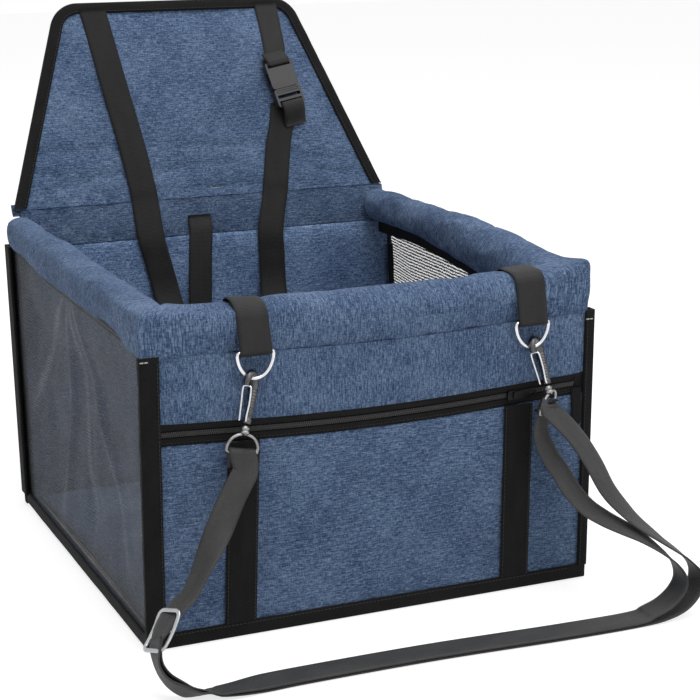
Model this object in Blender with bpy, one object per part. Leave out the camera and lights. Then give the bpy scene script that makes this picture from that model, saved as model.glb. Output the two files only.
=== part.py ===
"""A soft car seat for a small dog: an open fabric box with mesh sides, a rolled rim round three
sides over stiff tubes, a leaning backrest flap that folds down over the box, a zipped front
pocket and a lead clipped to two rings. Metres. X is the width, the front faces -Y, Z is up,
and the underside lies on z = 0."""

import math

import bmesh
import bpy
from mathutils import Matrix, Vector

for old in list(bpy.data.objects):
    bpy.data.objects.remove(old, do_unlink=True)

# Overall places
GAP = 0.0003
HALF_X = 0.1965  # outside of the front and back panels
FRONT_PROUD = 0.0021
FRONT_Y = -HALF_X - FRONT_PROUD  # face of the pocket panel
LOW_Z = 0.0019  # lower edge of every wall
BACK_Y = 0.1900  # outside of the back wall on the floor
BACK_TOP_Y = 0.2140  # outside of the back wall at the lower crease
CREASE_LOW_Z = 0.2500
CREASE_Y = 0.2190  # the fold line of the flap, on its front face
CREASE_Z = 0.2845
BACK_SLOPE = (BACK_TOP_Y - BACK_Y) / CREASE_LOW_Z
FLAP_LEAN = math.radians(23.5)
FLAP_SHIFT = 0.0020  # the flap is sewn on a little to the right of the middle

# Rim sleeves
RIM_INSET = 0.0165
RIM_HALF = HALF_X - RIM_INSET  # axis of each rim from the middle plane
RIM_R = 0.0222
RIM_TOP_Z = 0.2815
RIM_Z = RIM_TOP_Z - RIM_R
RIM_SAG = 0.0072
SAG_POWER = 1.4
REAR_THINNER = 0.25  # the side rims narrow to where they are sewn to the back
REAR_FROM_Y = 0.0500
ROUND_TOP = 2.2
ROUND_LOW = 2.8
ROUND_CORNER = 4.6
RIM_SIDES = 24
TUBE_SIDES = 12
BORE_R = 0.0103
TUBE_R = 0.0100
TUBE_BORE_R = 0.0082
TUBE_SHORT = 0.0160
MITRE_GAP = 0.0002

# Front wall
FRONT_PANEL_T = 0.0060
FRONT_SKIN_T = 0.0028
ZIP_Z = 0.1790  # middle of the zipper band at the corners
ZIP_SAG = 0.0065
ZIP_W = 0.0185
CHAIN_W = 0.0050
CHAIN_T = 0.0013
SLIDER_INSET = 0.0554
SLIDER_X = RIM_HALF - SLIDER_INSET
SLIDER_L = 0.0100
SLIDER_W = 0.0080
SLIDER_T = 0.0024
PULL_L = 0.0215
PULL_W = 0.0062
PULL_T = 0.0011
BAND_W = 0.0270
BAND_T = 0.0015
TAPE_T = 0.0014
TAPE_W = 0.0125
TAPE_LEG = 0.0105
TAPE_R = 0.0009

# Floor
FLOOR_T = 0.0030
BOARD_T = 0.0030
LINER_T = 0.0080
LINER_EDGE_T = 0.0040

# Mesh sides
MESH_T = 0.0012
MESH_PROUD = 0.0020
MESH_X = HALF_X + MESH_PROUD
MESH_BOW = 0.0065
MESH_FOLD = 0.0022

# Back and flap
BACK_T = 0.0080
SEAM_T = 0.0050
CROWN = 0.0013
BACK_BOARD_T = 0.0030
FLAP_BOARD_T = 0.0020
FLAP_H = 0.2062
FLAP_INSET = 0.0020
FLAP_HALF = HALF_X - FLAP_INSET  # half width at the fold line
FLAP_TAPER = 0.3415
FLAP_CORNER_R = 0.0300
FLAP_T = 0.0085
BIND_W = 0.0115
BIND_T = 0.0013
BIND_LIP = 0.0005
FOLD_RELIEF = 0.0036  # how much higher the flap's lower edge is behind than in front

# Webbing
WEB_T = 0.0015
WEB_W = 0.0270
BUCKLE_WEB_W = 0.0240
LEAD_W = 0.0220
LEAD_T = 0.0017
LEAD_SPAN = 0.0095  # longest step along a strap's path

# Metal
LOOP_LIFT = 0.0012
RING_WIRE_R = 0.0016
RING_SIDE_ROOM = 0.0020
RING_HALF = WEB_W / 2 + RING_SIDE_ROOM
RING_DROP = 0.0216
LEFT_RING_Z = 0.2400
RIGHT_RING_Z = 0.2392
RING_PROUD = 0.0038
RING_OFF_WALL = 0.0074
RING_Y = min(-RIM_HALF - RIM_R - RING_PROUD, FRONT_Y - RING_OFF_WALL)
LEFT_RING_INSET = 0.0724
RIGHT_RING_INSET = 0.0406
LEFT_RING_X = LEFT_RING_INSET - RIM_HALF
RIGHT_RING_X = RIM_HALF - RIGHT_RING_INSET
EYE_WIRE_R = 0.0014
EYE_SIDE_ROOM = 0.0024
EYE_HALF = LEAD_W / 2 + EYE_SIDE_ROOM
GATE_WIRE_R = 0.0008
HOOK_R = 0.0025
SLIDER_STOP = 7  # the adjuster lies after this point of the lead's left strand
ADJUSTER_L = 0.0180
ADJUSTER_BAR = 0.0017
ADJUSTER_SIDE = 0.0026
ADJUSTER_END = 0.0036
ADJUSTER_ROOM = 0.0037

BLUE = (0.075, 0.135, 0.270)
BLUE_SIDE = (0.060, 0.110, 0.225)
BLACK = (0.018, 0.018, 0.020)
WEBBING = (0.030, 0.030, 0.032)
GREY_MESH = (0.060, 0.065, 0.075)
STEEL = (0.620, 0.620, 0.640)
GUNMETAL = (0.080, 0.080, 0.088)
BOARD = (0.330, 0.310, 0.280)
PIPE = (0.780, 0.780, 0.760)
PLASTIC = (0.020, 0.020, 0.022)


def material(name, colour, roughness, metallic=0):
    made = bpy.data.materials.new(name)
    made.use_nodes = True
    shader = made.node_tree.nodes["Principled BSDF"]
    shader.inputs["Base Color"].default_value = (*colour, 1)
    shader.inputs["Roughness"].default_value = roughness
    shader.inputs["Metallic"].default_value = metallic
    return made


FABRIC = material("blue_canvas", BLUE, 0.9)
LINING = material("blue_lining", BLUE_SIDE, 0.92)
TAPE = material("black_tape", BLACK, 0.85)
WEB = material("black_webbing", WEBBING, 0.75)
MESH = material("grey_mesh", GREY_MESH, 0.8)
CHROME = material("bright_steel", STEEL, 0.22, 1)
HOOK_METAL = material("dark_hook_metal", GUNMETAL, 0.38, 1)
STIFF_BOARD = material("stiff_board", BOARD, 0.9)
PIPE_PLASTIC = material("pale_tube", PIPE, 0.45)
BUCKLE_PLASTIC = material("black_plastic", PLASTIC, 0.42)


def solid(name, points, faces, mat, smooth=True):
    """One closed body from points and faces, facing out."""
    mesh = bpy.data.meshes.new(name)
    mesh.from_pydata([tuple(p) for p in points], [], faces)
    shaped = bmesh.new()
    shaped.from_mesh(mesh)
    bmesh.ops.recalc_face_normals(shaped, faces=shaped.faces)
    bmesh.ops.triangulate(shaped, faces=shaped.faces)
    shaped.to_mesh(mesh)
    shaped.free()
    for face in mesh.polygons:
        face.use_smooth = smooth
    mesh.materials.append(mat)
    made = bpy.data.objects.new(name, mesh)
    bpy.context.scene.collection.objects.link(made)
    return made


def loft(name, rings, mat, closed=False, smooth=True):
    """Rings of equal count joined in order, with a cap on each end unless the path is closed."""
    count = len(rings[0])
    points = [p for ring in rings for p in ring]
    faces = []
    spans = len(rings) if closed else len(rings) - 1
    for i in range(spans):
        here = i * count
        there = ((i + 1) % len(rings)) * count
        for k in range(count):
            n = (k + 1) % count
            faces.append((here + k, here + n, there + n, there + k))
    if not closed:
        faces.append(tuple(range(count)))
        faces.append(tuple(len(points) - count + k for k in range(count)))
    return solid(name, points, faces, mat, smooth)


def sleeve(name, outer, inner, mat):
    """A tube with its own inside: outer and inner rings of equal count, open at both ends."""
    count = len(outer[0])
    last = len(outer) - 1
    points = [p for ring in outer for p in ring] + [p for ring in inner for p in ring]
    shift = len(outer) * count
    faces = []
    for k in range(count):
        n = (k + 1) % count
        for i in range(last):
            a = i * count
            b = a + count
            faces.append((a + k, a + n, b + n, b + k))
            faces.append((shift + a + k, shift + b + k, shift + b + n, shift + a + n))
        end = last * count
        faces.append((k, shift + k, shift + n, n))
        faces.append((end + k, end + n, shift + end + n, shift + end + k))
    return solid(name, points, faces, mat)


def slab(name, front, back, mat, smooth=True):
    """A padded sheet between two grids of points of the same size."""
    rows = len(front)
    cols = len(front[0])
    points = [p for row in front for p in row] + [p for row in back for p in row]
    far = rows * cols

    def at(i, j):
        return i * cols + j

    faces = []
    for i in range(rows - 1):
        for j in range(cols - 1):
            quad = (at(i, j), at(i, j + 1), at(i + 1, j + 1), at(i + 1, j))
            faces.append(quad)
            faces.append(tuple(far + q for q in reversed(quad)))
    edge = [at(0, j) for j in range(cols)]
    edge += [at(i, cols - 1) for i in range(1, rows)]
    edge += [at(rows - 1, j) for j in range(cols - 2, -1, -1)]
    edge += [at(i, 0) for i in range(rows - 2, 0, -1)]
    for k, a in enumerate(edge):
        b = edge[(k + 1) % len(edge)]
        faces.append((a, far + a, far + b, b))
    return solid(name, points, faces, mat, smooth)


def spread(start, end, count):
    return [start + (end - start) * k / (count - 1) for k in range(count)]


def smooth_step(value):
    t = min(max(value, 0), 1)
    return t * t * (3 - 2 * t)


def smooth_path(points, count):
    """A Catmull-Rom curve through the points, at even steps of its length."""
    pts = [Vector(p) for p in points]
    padded = [pts[0] * 2 - pts[1]] + pts + [pts[-1] * 2 - pts[-2]]
    dense = []
    fine = 12
    for i in range(1, len(padded) - 2):
        a, b, c, d = padded[i - 1 : i + 3]
        for k in range(fine):
            t = k / fine
            dense.append(
                (b * 2 + (c - a) * t + (a * 2 - b * 5 + c * 4 - d) * t * t
                 + (b * 3 - a - c * 3 + d) * t * t * t) / 2
            )
    dense.append(pts[-1])
    lengths = [0]
    for a, b in zip(dense, dense[1:]):
        lengths.append(lengths[-1] + (b - a).length)
    out = []
    place = 0
    for want in spread(0, lengths[-1], count):
        while place < len(dense) - 2 and lengths[place + 1] < want:
            place += 1
        span = lengths[place + 1] - lengths[place]
        t = (want - lengths[place]) / span if span else 0
        out.append(dense[place].lerp(dense[place + 1], min(max(t, 0), 1)))
    return out


def tangents(path, closed=False):
    count = len(path)
    out = []
    for k in range(count):
        a = path[k - 1] if closed or k > 0 else path[0]
        b = path[(k + 1) % count] if closed or k < count - 1 else path[-1]
        out.append((b - a).normalized())
    return out


def wire(name, path, radius, mat, closed=False, sides=8, normal=(0, 1, 0)):
    """A round wire along a path that lies in one plane or nearly so."""
    rings = []
    up = Vector(normal).normalized()
    for p, t in zip(path, tangents(path, closed)):
        side = up.cross(t).normalized()
        top = t.cross(side)
        ring = []
        for k in range(sides):
            a = 2 * math.pi * k / sides
            ring.append(p + side * (radius * math.cos(a)) + top * (radius * math.sin(a)))
        rings.append(ring)
    return loft(name, rings, mat, closed)


def ribbon(name, path, sides, width, thickness, mat, level=False):
    """Flat webbing along a path; sides are the directions of its width, kept as given if level."""
    rings = []
    for p, t, s in zip(path, tangents(path), sides):
        across = s.normalized() if level else (s - t * s.dot(t)).normalized()
        out = t.cross(across).normalized()
        w = across * (width / 2)
        h = out * (thickness / 2)
        soft = across * (width / 2 - thickness / 2)
        rings.append([p - soft - h, p + soft - h, p + w, p + soft + h, p - soft + h, p - w])
    return loft(name, rings, mat)


def paced_path(points, step):
    """A smooth curve through the points with at least two spans between each pair of them."""
    pts = [Vector(p) for p in points]
    padded = [pts[0] * 2 - pts[1]] + pts + [pts[-1] * 2 - pts[-2]]
    out = []
    for i in range(1, len(padded) - 2):
        a, b, c, d = padded[i - 1 : i + 3]
        spans = max(2, math.ceil((c - b).length / step))
        for k in range(spans):
            t = k / spans
            out.append(
                (b * 2 + (c - a) * t + (a * 2 - b * 5 + c * 4 - d) * t * t
                 + (b * 3 - a - c * 3 + d) * t * t * t) / 2
            )
    out.append(pts[-1])
    return out


def turned_sides(stops, path):
    """Directions between the given ones along a path: stops are (share of the length, direction)."""
    out = []
    lengths = [0]
    for a, b in zip(path, path[1:]):
        lengths.append(lengths[-1] + (b - a).length)
    for length in lengths:
        share = length / lengths[-1]
        for (s0, a), (s1, b) in zip(stops, stops[1:]):
            if share <= s1 or s1 == stops[-1][0]:
                t = smooth_step((share - s0) / (s1 - s0))
                out.append(Vector(a).lerp(Vector(b), t).normalized())
                break
    return out


def prism(name, outline, depth, place, mat, smooth=False):
    """An outline drawn in two directions and pushed along a third; place maps (a, b, c) to a point."""
    rings = [[place(a, b, c) for a, b in outline] for c in depth]
    return loft(name, rings, mat, smooth=smooth)


def box_outline(a0, a1, b0, b1, corner=0, steps=3):
    if not corner:
        return [(a0, b0), (a1, b0), (a1, b1), (a0, b1)]
    out = []
    centres = ((a1, b0, -90), (a1, b1, 0), (a0, b1, 90), (a0, b0, 180))
    for a, b, start in centres:
        ca = a - corner if a == a1 else a + corner
        cb = b - corner if b == b1 else b + corner
        for k in range(steps + 1):
            angle = math.radians(start + 90 * k / steps)
            out.append((ca + corner * math.cos(angle), cb + corner * math.sin(angle)))
    return out


def cut(target, cutter, operation="DIFFERENCE"):
    cutter.hide_render = True
    cutter.display_type = "WIRE"
    step = target.modifiers.new(cutter.name, "BOOLEAN")
    step.operation = operation
    step.solver = "EXACT"
    step.object = cutter


def sag(x, depth):
    share = max(0, 1 - (x / (HALF_X - FRONT_PANEL_T)) ** 2)
    return depth * share**SAG_POWER


def rim_z(x):
    return RIM_Z - sag(x, RIM_SAG)


def corner_share(from_end):
    """How square the sleeve is, from 1 at its mitred end to 0 further in."""
    return 1 - smooth_step(from_end / (3 * RIM_R))


def section(square, radius):
    """The sleeve's rounded section, (outward, up), squarer below and squarer still at a corner."""
    out = []
    for k in range(RIM_SIDES):
        angle = 2 * math.pi * k / RIM_SIDES
        c = math.cos(angle)
        s = math.sin(angle)
        power = ROUND_TOP if s > 0 else ROUND_LOW
        power += (ROUND_CORNER - power) * square
        out.append((
            radius * math.copysign(abs(c) ** (2 / power), c),
            radius * math.copysign(abs(s) ** (2 / power), s),
        ))
    return out


def bore_section(radius, sides=RIM_SIDES):
    angles = [2 * math.pi * k / sides for k in range(sides)]
    return [(radius * math.cos(a), radius * math.sin(a)) for a in angles]


def under_rim(offset, from_end):
    """How far under its axis the sleeve's surface lies at this offset from the axis."""
    power = ROUND_LOW + (ROUND_CORNER - ROUND_LOW) * corner_share(from_end)
    share = min(abs(offset) / RIM_R, 0.999)
    return RIM_R * (1 - share**power) ** (1 / power)


def back_front_y(z):
    """The inner face of the back wall, and of the band above it."""
    if z <= CREASE_LOW_Z:
        return BACK_Y - BACK_T + BACK_SLOPE * z
    low = BACK_TOP_Y - BACK_T
    share = (z - CREASE_LOW_Z) / (CREASE_Z - CREASE_LOW_Z)
    return low + (CREASE_Y - low) * share


# Rim sleeves and tubes
FRONT_SHARES = [-1, -0.945, -0.89, -0.82, -0.72, -0.56, -0.38, -0.19]
FRONT_SHARES += [0] + [-s for s in reversed(FRONT_SHARES)]
SIDE_SHARES = (-1, -0.93, -0.85, -0.74, -0.5, 0, 0.25, 0.5, 0.75, 0.9, 1)
REAR_SHARES = {"left": (0, 0.22), "right": (REAR_THINNER, 0)}  # thinner all round, and fuller outwards


def front_rim():
    outer = []
    inner = []
    for share in FRONT_SHARES:
        x = share * (RIM_HALF - MITRE_GAP)
        from_end = RIM_HALF - abs(x)
        square = corner_share(from_end)
        lean = math.copysign(smooth_step(1 - from_end / (2 * RIM_R)), x) if x else 0
        z = rim_z(x)
        outer.append([Vector((x + lean * a, -RIM_HALF - a, z + b)) for a, b in section(square, RIM_R)])
        inner.append([Vector((x + lean * a, -RIM_HALF - a, z + b)) for a, b in bore_section(BORE_R)])
    sleeve("front_rim_sleeve", outer, inner, FABRIC)
    reach = RIM_HALF - TUBE_SHORT
    outer = []
    inner = []
    for x in spread(-reach, reach, 11):
        z = rim_z(x)
        outer.append([Vector((x, -RIM_HALF - a, z + b)) for a, b in bore_section(TUBE_R, TUBE_SIDES)])
        inner.append([Vector((x, -RIM_HALF - a, z + b)) for a, b in bore_section(TUBE_BORE_R, TUBE_SIDES)])
    sleeve("front_rim_tube", outer, inner, PIPE_PLASTIC)


def side_rim(side, name):
    outer = []
    inner = []
    back_end = back_front_y(RIM_Z) - CROWN - 2 * GAP
    thinner, fuller = REAR_SHARES[name]
    slope = (CREASE_Y - BACK_TOP_Y + BACK_T) / (CREASE_Z - CREASE_LOW_Z)
    for share in SIDE_SHARES:
        y = share * (RIM_HALF - MITRE_GAP) if share < 1 else back_end
        from_end = RIM_HALF + y
        square = corner_share(from_end)
        lean = smooth_step(1 - from_end / (2 * RIM_R))
        tilt = slope if share == 1 else 0

        def place(a, b, y=y, lean=lean, tilt=tilt):
            return Vector((side * (RIM_HALF + a), y - lean * a + tilt * b, RIM_Z + b))

        rear = smooth_step((y - REAR_FROM_Y) / (back_end - REAR_FROM_Y))
        radius = RIM_R * (1 - thinner * rear)
        outer.append([place(a + max(a, 0) * fuller * rear, b) for a, b in section(square, radius)])
        inner.append([place(a, b) for a, b in bore_section(BORE_R)])
    sleeve(name + "_rim_sleeve", outer, inner, FABRIC)
    ends = (-RIM_HALF + TUBE_SHORT, back_end - TUBE_SHORT)
    outer = []
    inner = []
    for y in ends:
        middle = Vector((side * RIM_HALF, y, RIM_Z))
        outer.append([middle + Vector((a, 0, b)) for a, b in bore_section(TUBE_R, TUBE_SIDES)])
        inner.append([middle + Vector((a, 0, b)) for a, b in bore_section(TUBE_BORE_R, TUBE_SIDES)])
    sleeve(name + "_rim_tube", outer, inner, PIPE_PLASTIC)


front_rim()
side_rim(-1, "left")
side_rim(1, "right")


# Front wall: a padded panel behind, and the pocket, zipper and upper panel in one layer before it
COLUMNS = 15


def wall_sheet(name, low, high, y_front, y_back, half, mat, rows=2):
    """A flat sheet of the front wall between two curves of height, each low(x, y), high(x, y)."""
    front = []
    back = []
    for share in spread(0, 1, rows):
        front_row = []
        back_row = []
        for x in spread(-half, half, COLUMNS):
            for row, y in ((front_row, y_front), (back_row, y_back)):
                z0 = low(x, y)
                row.append(Vector((x, y, z0 + (high(x, y) - z0) * share)))
        front.append(front_row)
        back.append(back_row)
    return slab(name, front, back, mat, smooth=False)


SKIN_BACK_Y = FRONT_Y + FRONT_SKIN_T
PANEL_Y = SKIN_BACK_Y + GAP
PANEL_BACK_Y = PANEL_Y + FRONT_PANEL_T
PANEL_HALF = HALF_X - GAP


def to_rim(x, y):
    from_end = min(RIM_HALF - abs(x), 1)
    return rim_z(x) - under_rim(y + RIM_HALF, max(from_end, 0)) - 2 * GAP


def zip_mid(x):
    return ZIP_Z - sag(x, ZIP_SAG)


wall_sheet("front_panel", lambda x, y: LOW_Z, to_rim, PANEL_Y, PANEL_BACK_Y, PANEL_HALF, LINING)
wall_sheet(
    "pocket_panel", lambda x, y: LOW_Z, lambda x, y: zip_mid(x) - ZIP_W / 2 - GAP,
    FRONT_Y, SKIN_BACK_Y, PANEL_HALF, FABRIC,
)
wall_sheet(
    "zipper_tape", lambda x, y: zip_mid(x) - ZIP_W / 2, lambda x, y: zip_mid(x) + ZIP_W / 2,
    FRONT_Y, SKIN_BACK_Y, PANEL_HALF, TAPE,
)
wall_sheet(
    "upper_front_panel", lambda x, y: zip_mid(x) + ZIP_W / 2 + GAP, to_rim,
    FRONT_Y, SKIN_BACK_Y, PANEL_HALF, FABRIC,
)
TAPE_IN_X = MESH_X + GAP
TAPE_OUT_X = TAPE_IN_X + TAPE_T
TAPE_IN_Y = FRONT_Y - GAP
TAPE_OUT_Y = TAPE_IN_Y - TAPE_T
CHAIN_HALF = TAPE_OUT_X - TAPE_W - GAP
CHAIN_FRONT_Y = TAPE_IN_Y - CHAIN_T
wall_sheet(
    "zipper_chain", lambda x, y: zip_mid(x) - CHAIN_W / 2, lambda x, y: zip_mid(x) + CHAIN_W / 2,
    CHAIN_FRONT_Y, TAPE_IN_Y, CHAIN_HALF, TAPE,
)


def zipper_slider():
    z = zip_mid(SLIDER_X)
    back = CHAIN_FRONT_Y - GAP
    front = back - SLIDER_T
    half_l = SLIDER_L / 2
    half_w = SLIDER_W / 2
    body = box_outline(SLIDER_X - half_l, SLIDER_X + half_l, z - half_w, z + half_w, SLIDER_W / 4)
    prism("zipper_slider", body, (front, back), lambda a, b, c: Vector((a, c, b)), HOOK_METAL)
    pull = box_outline(SLIDER_X, SLIDER_X + PULL_L, z - PULL_W / 2, z + PULL_W / 2, PULL_W / 4)
    eye = box_outline(
        SLIDER_X + PULL_L - PULL_W, SLIDER_X + PULL_L - PULL_W / 3, z - PULL_W / 6, z + PULL_W / 6,
    )
    tab = prism(
        "zipper_pull", pull, (front - GAP - PULL_T, front - GAP), lambda a, b, c: Vector((a, c, b)), HOOK_METAL,
    )
    cut(tab, prism(
        "pull_cutter", eye, (front - 4 * PULL_T, front + PULL_T), lambda a, b, c: Vector((a, c, b)), HOOK_METAL,
    ))


zipper_slider()


def pocket_band(name, x_top, x_low):
    z_top = zip_mid(x_top) - ZIP_W / 2 - GAP
    z_low = LOW_Z + TAPE_W
    front = []
    back = []
    for row, y in ((front, TAPE_IN_Y - BAND_T), (back, TAPE_IN_Y)):
        for x, z in ((x_low, z_low), (x_top, z_top)):
            row.append([Vector((x - BAND_W / 2, y, z)), Vector((x + BAND_W / 2, y, z))])
    slab(name, front, back, WEB, smooth=False)


POCKET_BANDS = (  # how far the top and foot of each band lie from the ring above it
    ("left_pocket_band", LEFT_RING_X, -0.0086, -0.0135), ("right_pocket_band", RIGHT_RING_X, -0.0082, -0.0090),
)
for band, ring_x, top_shift, low_shift in POCKET_BANDS:
    pocket_band(band, ring_x + top_shift, ring_x + low_shift)


# Binding tapes of the box
def angle_tape(name, path, first, second, first_leg, second_leg):
    """A tape folded round an edge: path is its outer corner, first and second the ways it runs back."""
    rings = []
    outline = [
        (TAPE_R, 0), (first_leg, 0), (first_leg, TAPE_T), (TAPE_T, TAPE_T), (TAPE_T, second_leg),
        (0, second_leg), (0, TAPE_R), (TAPE_R / 4, TAPE_R / 4),
    ]
    for p in path:
        rings.append([Vector(p) + Vector(first) * a + Vector(second) * b for a, b in outline])
    return loft(name, rings, TAPE, smooth=False)


FOOT_Z = LOW_Z - GAP - TAPE_T
TAPE_TOP_Z = RIM_Z - RIM_R - GAP
LEAN_UP = Vector((0, BACK_SLOPE, 1)).normalized()
BACK_TAPE_Y = BACK_Y + GAP + TAPE_T


def back_tape_y(z):
    return BACK_TAPE_Y + BACK_SLOPE * z


angle_tape(
    "front_bottom_tape", [(-TAPE_OUT_X, TAPE_OUT_Y, FOOT_Z), (TAPE_OUT_X, TAPE_OUT_Y, FOOT_Z)],
    (0, 1, 0), (0, 0, 1), TAPE_LEG, TAPE_W,
)
angle_tape(
    "back_bottom_tape",
    [(-TAPE_OUT_X, back_tape_y(FOOT_Z), FOOT_Z), (TAPE_OUT_X, back_tape_y(FOOT_Z), FOOT_Z)],
    (0, -1, 0), LEAN_UP, BACK_T, TAPE_W,
)
for side, name in ((-1, "left"), (1, "right")):
    rings = []
    for y in (TAPE_IN_Y + GAP, BACK_Y):
        high = FOOT_Z + TAPE_W
        corners = ((TAPE_IN_X, LOW_Z), (TAPE_OUT_X, LOW_Z), (TAPE_OUT_X, high), (TAPE_IN_X, high))
        rings.append([Vector((side * x, y, z)) for x, z in corners])
    loft(name + "_bottom_tape", rings, TAPE, smooth=False)
    corner_low = FOOT_Z + TAPE_W + GAP
    angle_tape(
        name + "_front_corner_tape",
        [(side * TAPE_OUT_X, TAPE_OUT_Y, corner_low), (side * TAPE_OUT_X, TAPE_OUT_Y, TAPE_TOP_Z)],
        (-side, 0, 0), (0, 1, 0), TAPE_W, TAPE_LEG,
    )
    angle_tape(
        name + "_back_corner_tape",
        [(side * TAPE_OUT_X, back_tape_y(z), z) for z in (corner_low, TAPE_TOP_Z)],
        (-side, 0, 0), (0, -1, 0), TAPE_LEG, TAPE_LEG,
    )

# Floor
FLOOR_FRONT_Y = PANEL_BACK_Y + GAP
FLOOR_BACK_Y = BACK_Y - BACK_T - GAP


def flat_prism(name, half, y0, y1, z0, z1, mat, corner=0):
    outline = box_outline(-half, half, y0, y1, corner)
    return prism(name, outline, (z0, z1), lambda a, b, c: Vector((a, b, c)), mat)


flat_prism("floor_cover", HALF_X, FLOOR_FRONT_Y, FLOOR_BACK_Y, 0, FLOOR_T, LINING)
BOARD_INSET = 0.0060
flat_prism(
    "base_board", HALF_X - BOARD_INSET, FLOOR_FRONT_Y + BOARD_INSET, FLOOR_BACK_Y - BOARD_INSET,
    FLOOR_T + GAP, FLOOR_T + GAP + BOARD_T, STIFF_BOARD, BOARD_INSET,
)


def floor_liner():
    low = FLOOR_T + BOARD_T + 2 * GAP
    front = []
    back = []
    count = 11
    for i in range(count):
        v = 2 * i / (count - 1) - 1
        top_row = []
        low_row = []
        for j in range(count):
            u = 2 * j / (count - 1) - 1
            pull = BOARD_INSET / 2
            x = u * (HALF_X - BOARD_INSET - pull * (1 - v * v))
            middle = (FLOOR_FRONT_Y + FLOOR_BACK_Y) / 2
            half_y = (FLOOR_BACK_Y - FLOOR_FRONT_Y) / 2 - BOARD_INSET - pull * (1 - u * u)
            rise = ((1 - u**4) * (1 - v**4)) ** 0.5
            top_row.append(Vector((x, middle + v * half_y, low + LINER_EDGE_T + LINER_T * rise)))
            low_row.append(Vector((x, middle + v * half_y, low)))
        front.append(top_row)
        back.append(low_row)
    slab("floor_liner", front, back, LINING)


floor_liner()


# Mesh sides
MESH_FLAT_SHARES = (0.07, 0.05)
MESH_SLOPE_SHARE = 0.28


def mesh_panel(side, name):
    rows = 11
    cols = 15
    outer = []
    inner = []
    for v in spread(0, 1, rows):
        outer_row = []
        inner_row = []
        for h in spread(0, 1, cols):
            for row, x in ((outer_row, MESH_X), (inner_row, MESH_X - MESH_T)):
                drop = under_rim(x - RIM_HALF, 1)
                z_top = RIM_Z - drop - 2 * GAP
                square_top = RIM_Z - RIM_R - GAP
                z = LOW_Z + (min(z_top, square_top) - LOW_Z) * v
                y0 = FRONT_Y + GAP
                y = y0 + (BACK_Y + BACK_SLOPE * z - y0) * h
                rise = smooth_step((min(v, 1 - v) - MESH_FLAT_SHARES[0]) / MESH_SLOPE_SHARE)
                edge = min(rise, smooth_step((min(h, 1 - h) - MESH_FLAT_SHARES[1]) / MESH_SLOPE_SHARE))
                fold = math.sin((h * 1.3 + v * 0.9 + 0.15) * 2 * math.pi * 1.6)
                bow = edge * (MESH_BOW + MESH_FOLD * fold)
                row.append(Vector((side * (x - bow), y, z)))
        outer.append(outer_row)
        inner.append(inner_row)
    slab(name + "_mesh_panel", outer, inner, MESH)


INNER_TAPE_T = 0.0012
for side, name in ((-1, "left"), (1, "right")):
    mesh_panel(side, name)
    x_out = MESH_X - MESH_T - GAP
    x_in = x_out - INNER_TAPE_T
    top = RIM_Z - RIM_R - GAP
    low = top - TAPE_W
    z_low = FLOOR_T + BOARD_T + LINER_EDGE_T + 4 * GAP
    outline = [(FLOOR_FRONT_Y, low), (back_front_y(low) - GAP - TAPE_W, low)]
    outline += [(back_front_y(z_low) - GAP - TAPE_W, z_low), (back_front_y(z_low) - GAP, z_low)]
    outline += [(back_front_y(top) - GAP - CROWN, top), (FLOOR_FRONT_Y, top)]
    depth = (side * x_in, side * x_out)
    prism(name + "_inner_tape", outline, depth, lambda a, b, c: Vector((c, a, b)), TAPE)


# Back wall and band
BACK_UP = Vector((0, BACK_SLOPE, 1))


def back_cover():
    front = []
    back = []
    rows = 9
    for v in spread(0, 1, rows):
        z = LOW_Z + (CREASE_LOW_Z - GAP - LOW_Z) * v
        edge = smooth_step(min(v, 1 - v) / 0.1)
        front_row = []
        back_row = []
        for x in spread(-PANEL_HALF, PANEL_HALF, 9):
            side_edge = smooth_step((PANEL_HALF - abs(x)) / (2 * TAPE_W))
            crown = CROWN * edge * side_edge
            front_row.append(Vector((x, back_front_y(z) - crown, z)))
            back_row.append(Vector((x, BACK_Y + BACK_SLOPE * z, z)))
        front.append(front_row)
        back.append(back_row)
    cover = slab("back_cover", front, back, LINING)
    board_half = PANEL_HALF - TAPE_W
    board_top = CREASE_LOW_Z - TAPE_W
    mid = BACK_T / 2

    def place(a, b, c):
        return Vector((a, BACK_Y - mid + BACK_SLOPE * b + c, b))

    slot_half = BACK_BOARD_T / 2 + GAP
    cutter = prism(
        "back_cutter", box_outline(-board_half - GAP, board_half + GAP, -TAPE_W, board_top + GAP),
        (-slot_half, slot_half), place, LINING,
    )
    cut(cover, cutter)
    prism(
        "back_board", box_outline(-board_half, board_half, LOW_Z + GAP, board_top, BOARD_INSET),
        (-BACK_BOARD_T / 2, BACK_BOARD_T / 2), place, STIFF_BOARD,
    )


BAND_SHARES = (0.012, 0.10, 0.25, 0.5, 0.75, 0.90, 0.996)


def back_band():
    low_y = BACK_TOP_Y - BACK_T
    along = Vector((0, CREASE_Y - low_y, CREASE_Z - CREASE_LOW_Z))
    out = Vector((0, -along.z, along.y)).normalized()
    start = Vector((0, low_y, CREASE_LOW_Z))
    front = []
    back = []
    for v in BAND_SHARES:
        full = smooth_step(min(v, 1 - v) / 0.35)
        front_row = []
        back_row = []
        for x in spread(-PANEL_HALF + GAP, PANEL_HALF - GAP, 9):
            base = start + along * v + Vector((x, 0, 0))
            front_row.append(base + out * (CROWN * full - GAP / 2))
            back_row.append(base + Vector((0, SEAM_T + (BACK_T - SEAM_T) * full, 0)))
        front.append(front_row)
        back.append(back_row)
    slab("back_band", front, back, LINING)


back_cover()
back_band()

# Flap
FLAP_V = Vector((0, math.sin(FLAP_LEAN), math.cos(FLAP_LEAN)))
FLAP_W = Vector((0, -math.cos(FLAP_LEAN), math.sin(FLAP_LEAN)))
FOLD = Vector((0, CREASE_Y, CREASE_Z))


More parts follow.
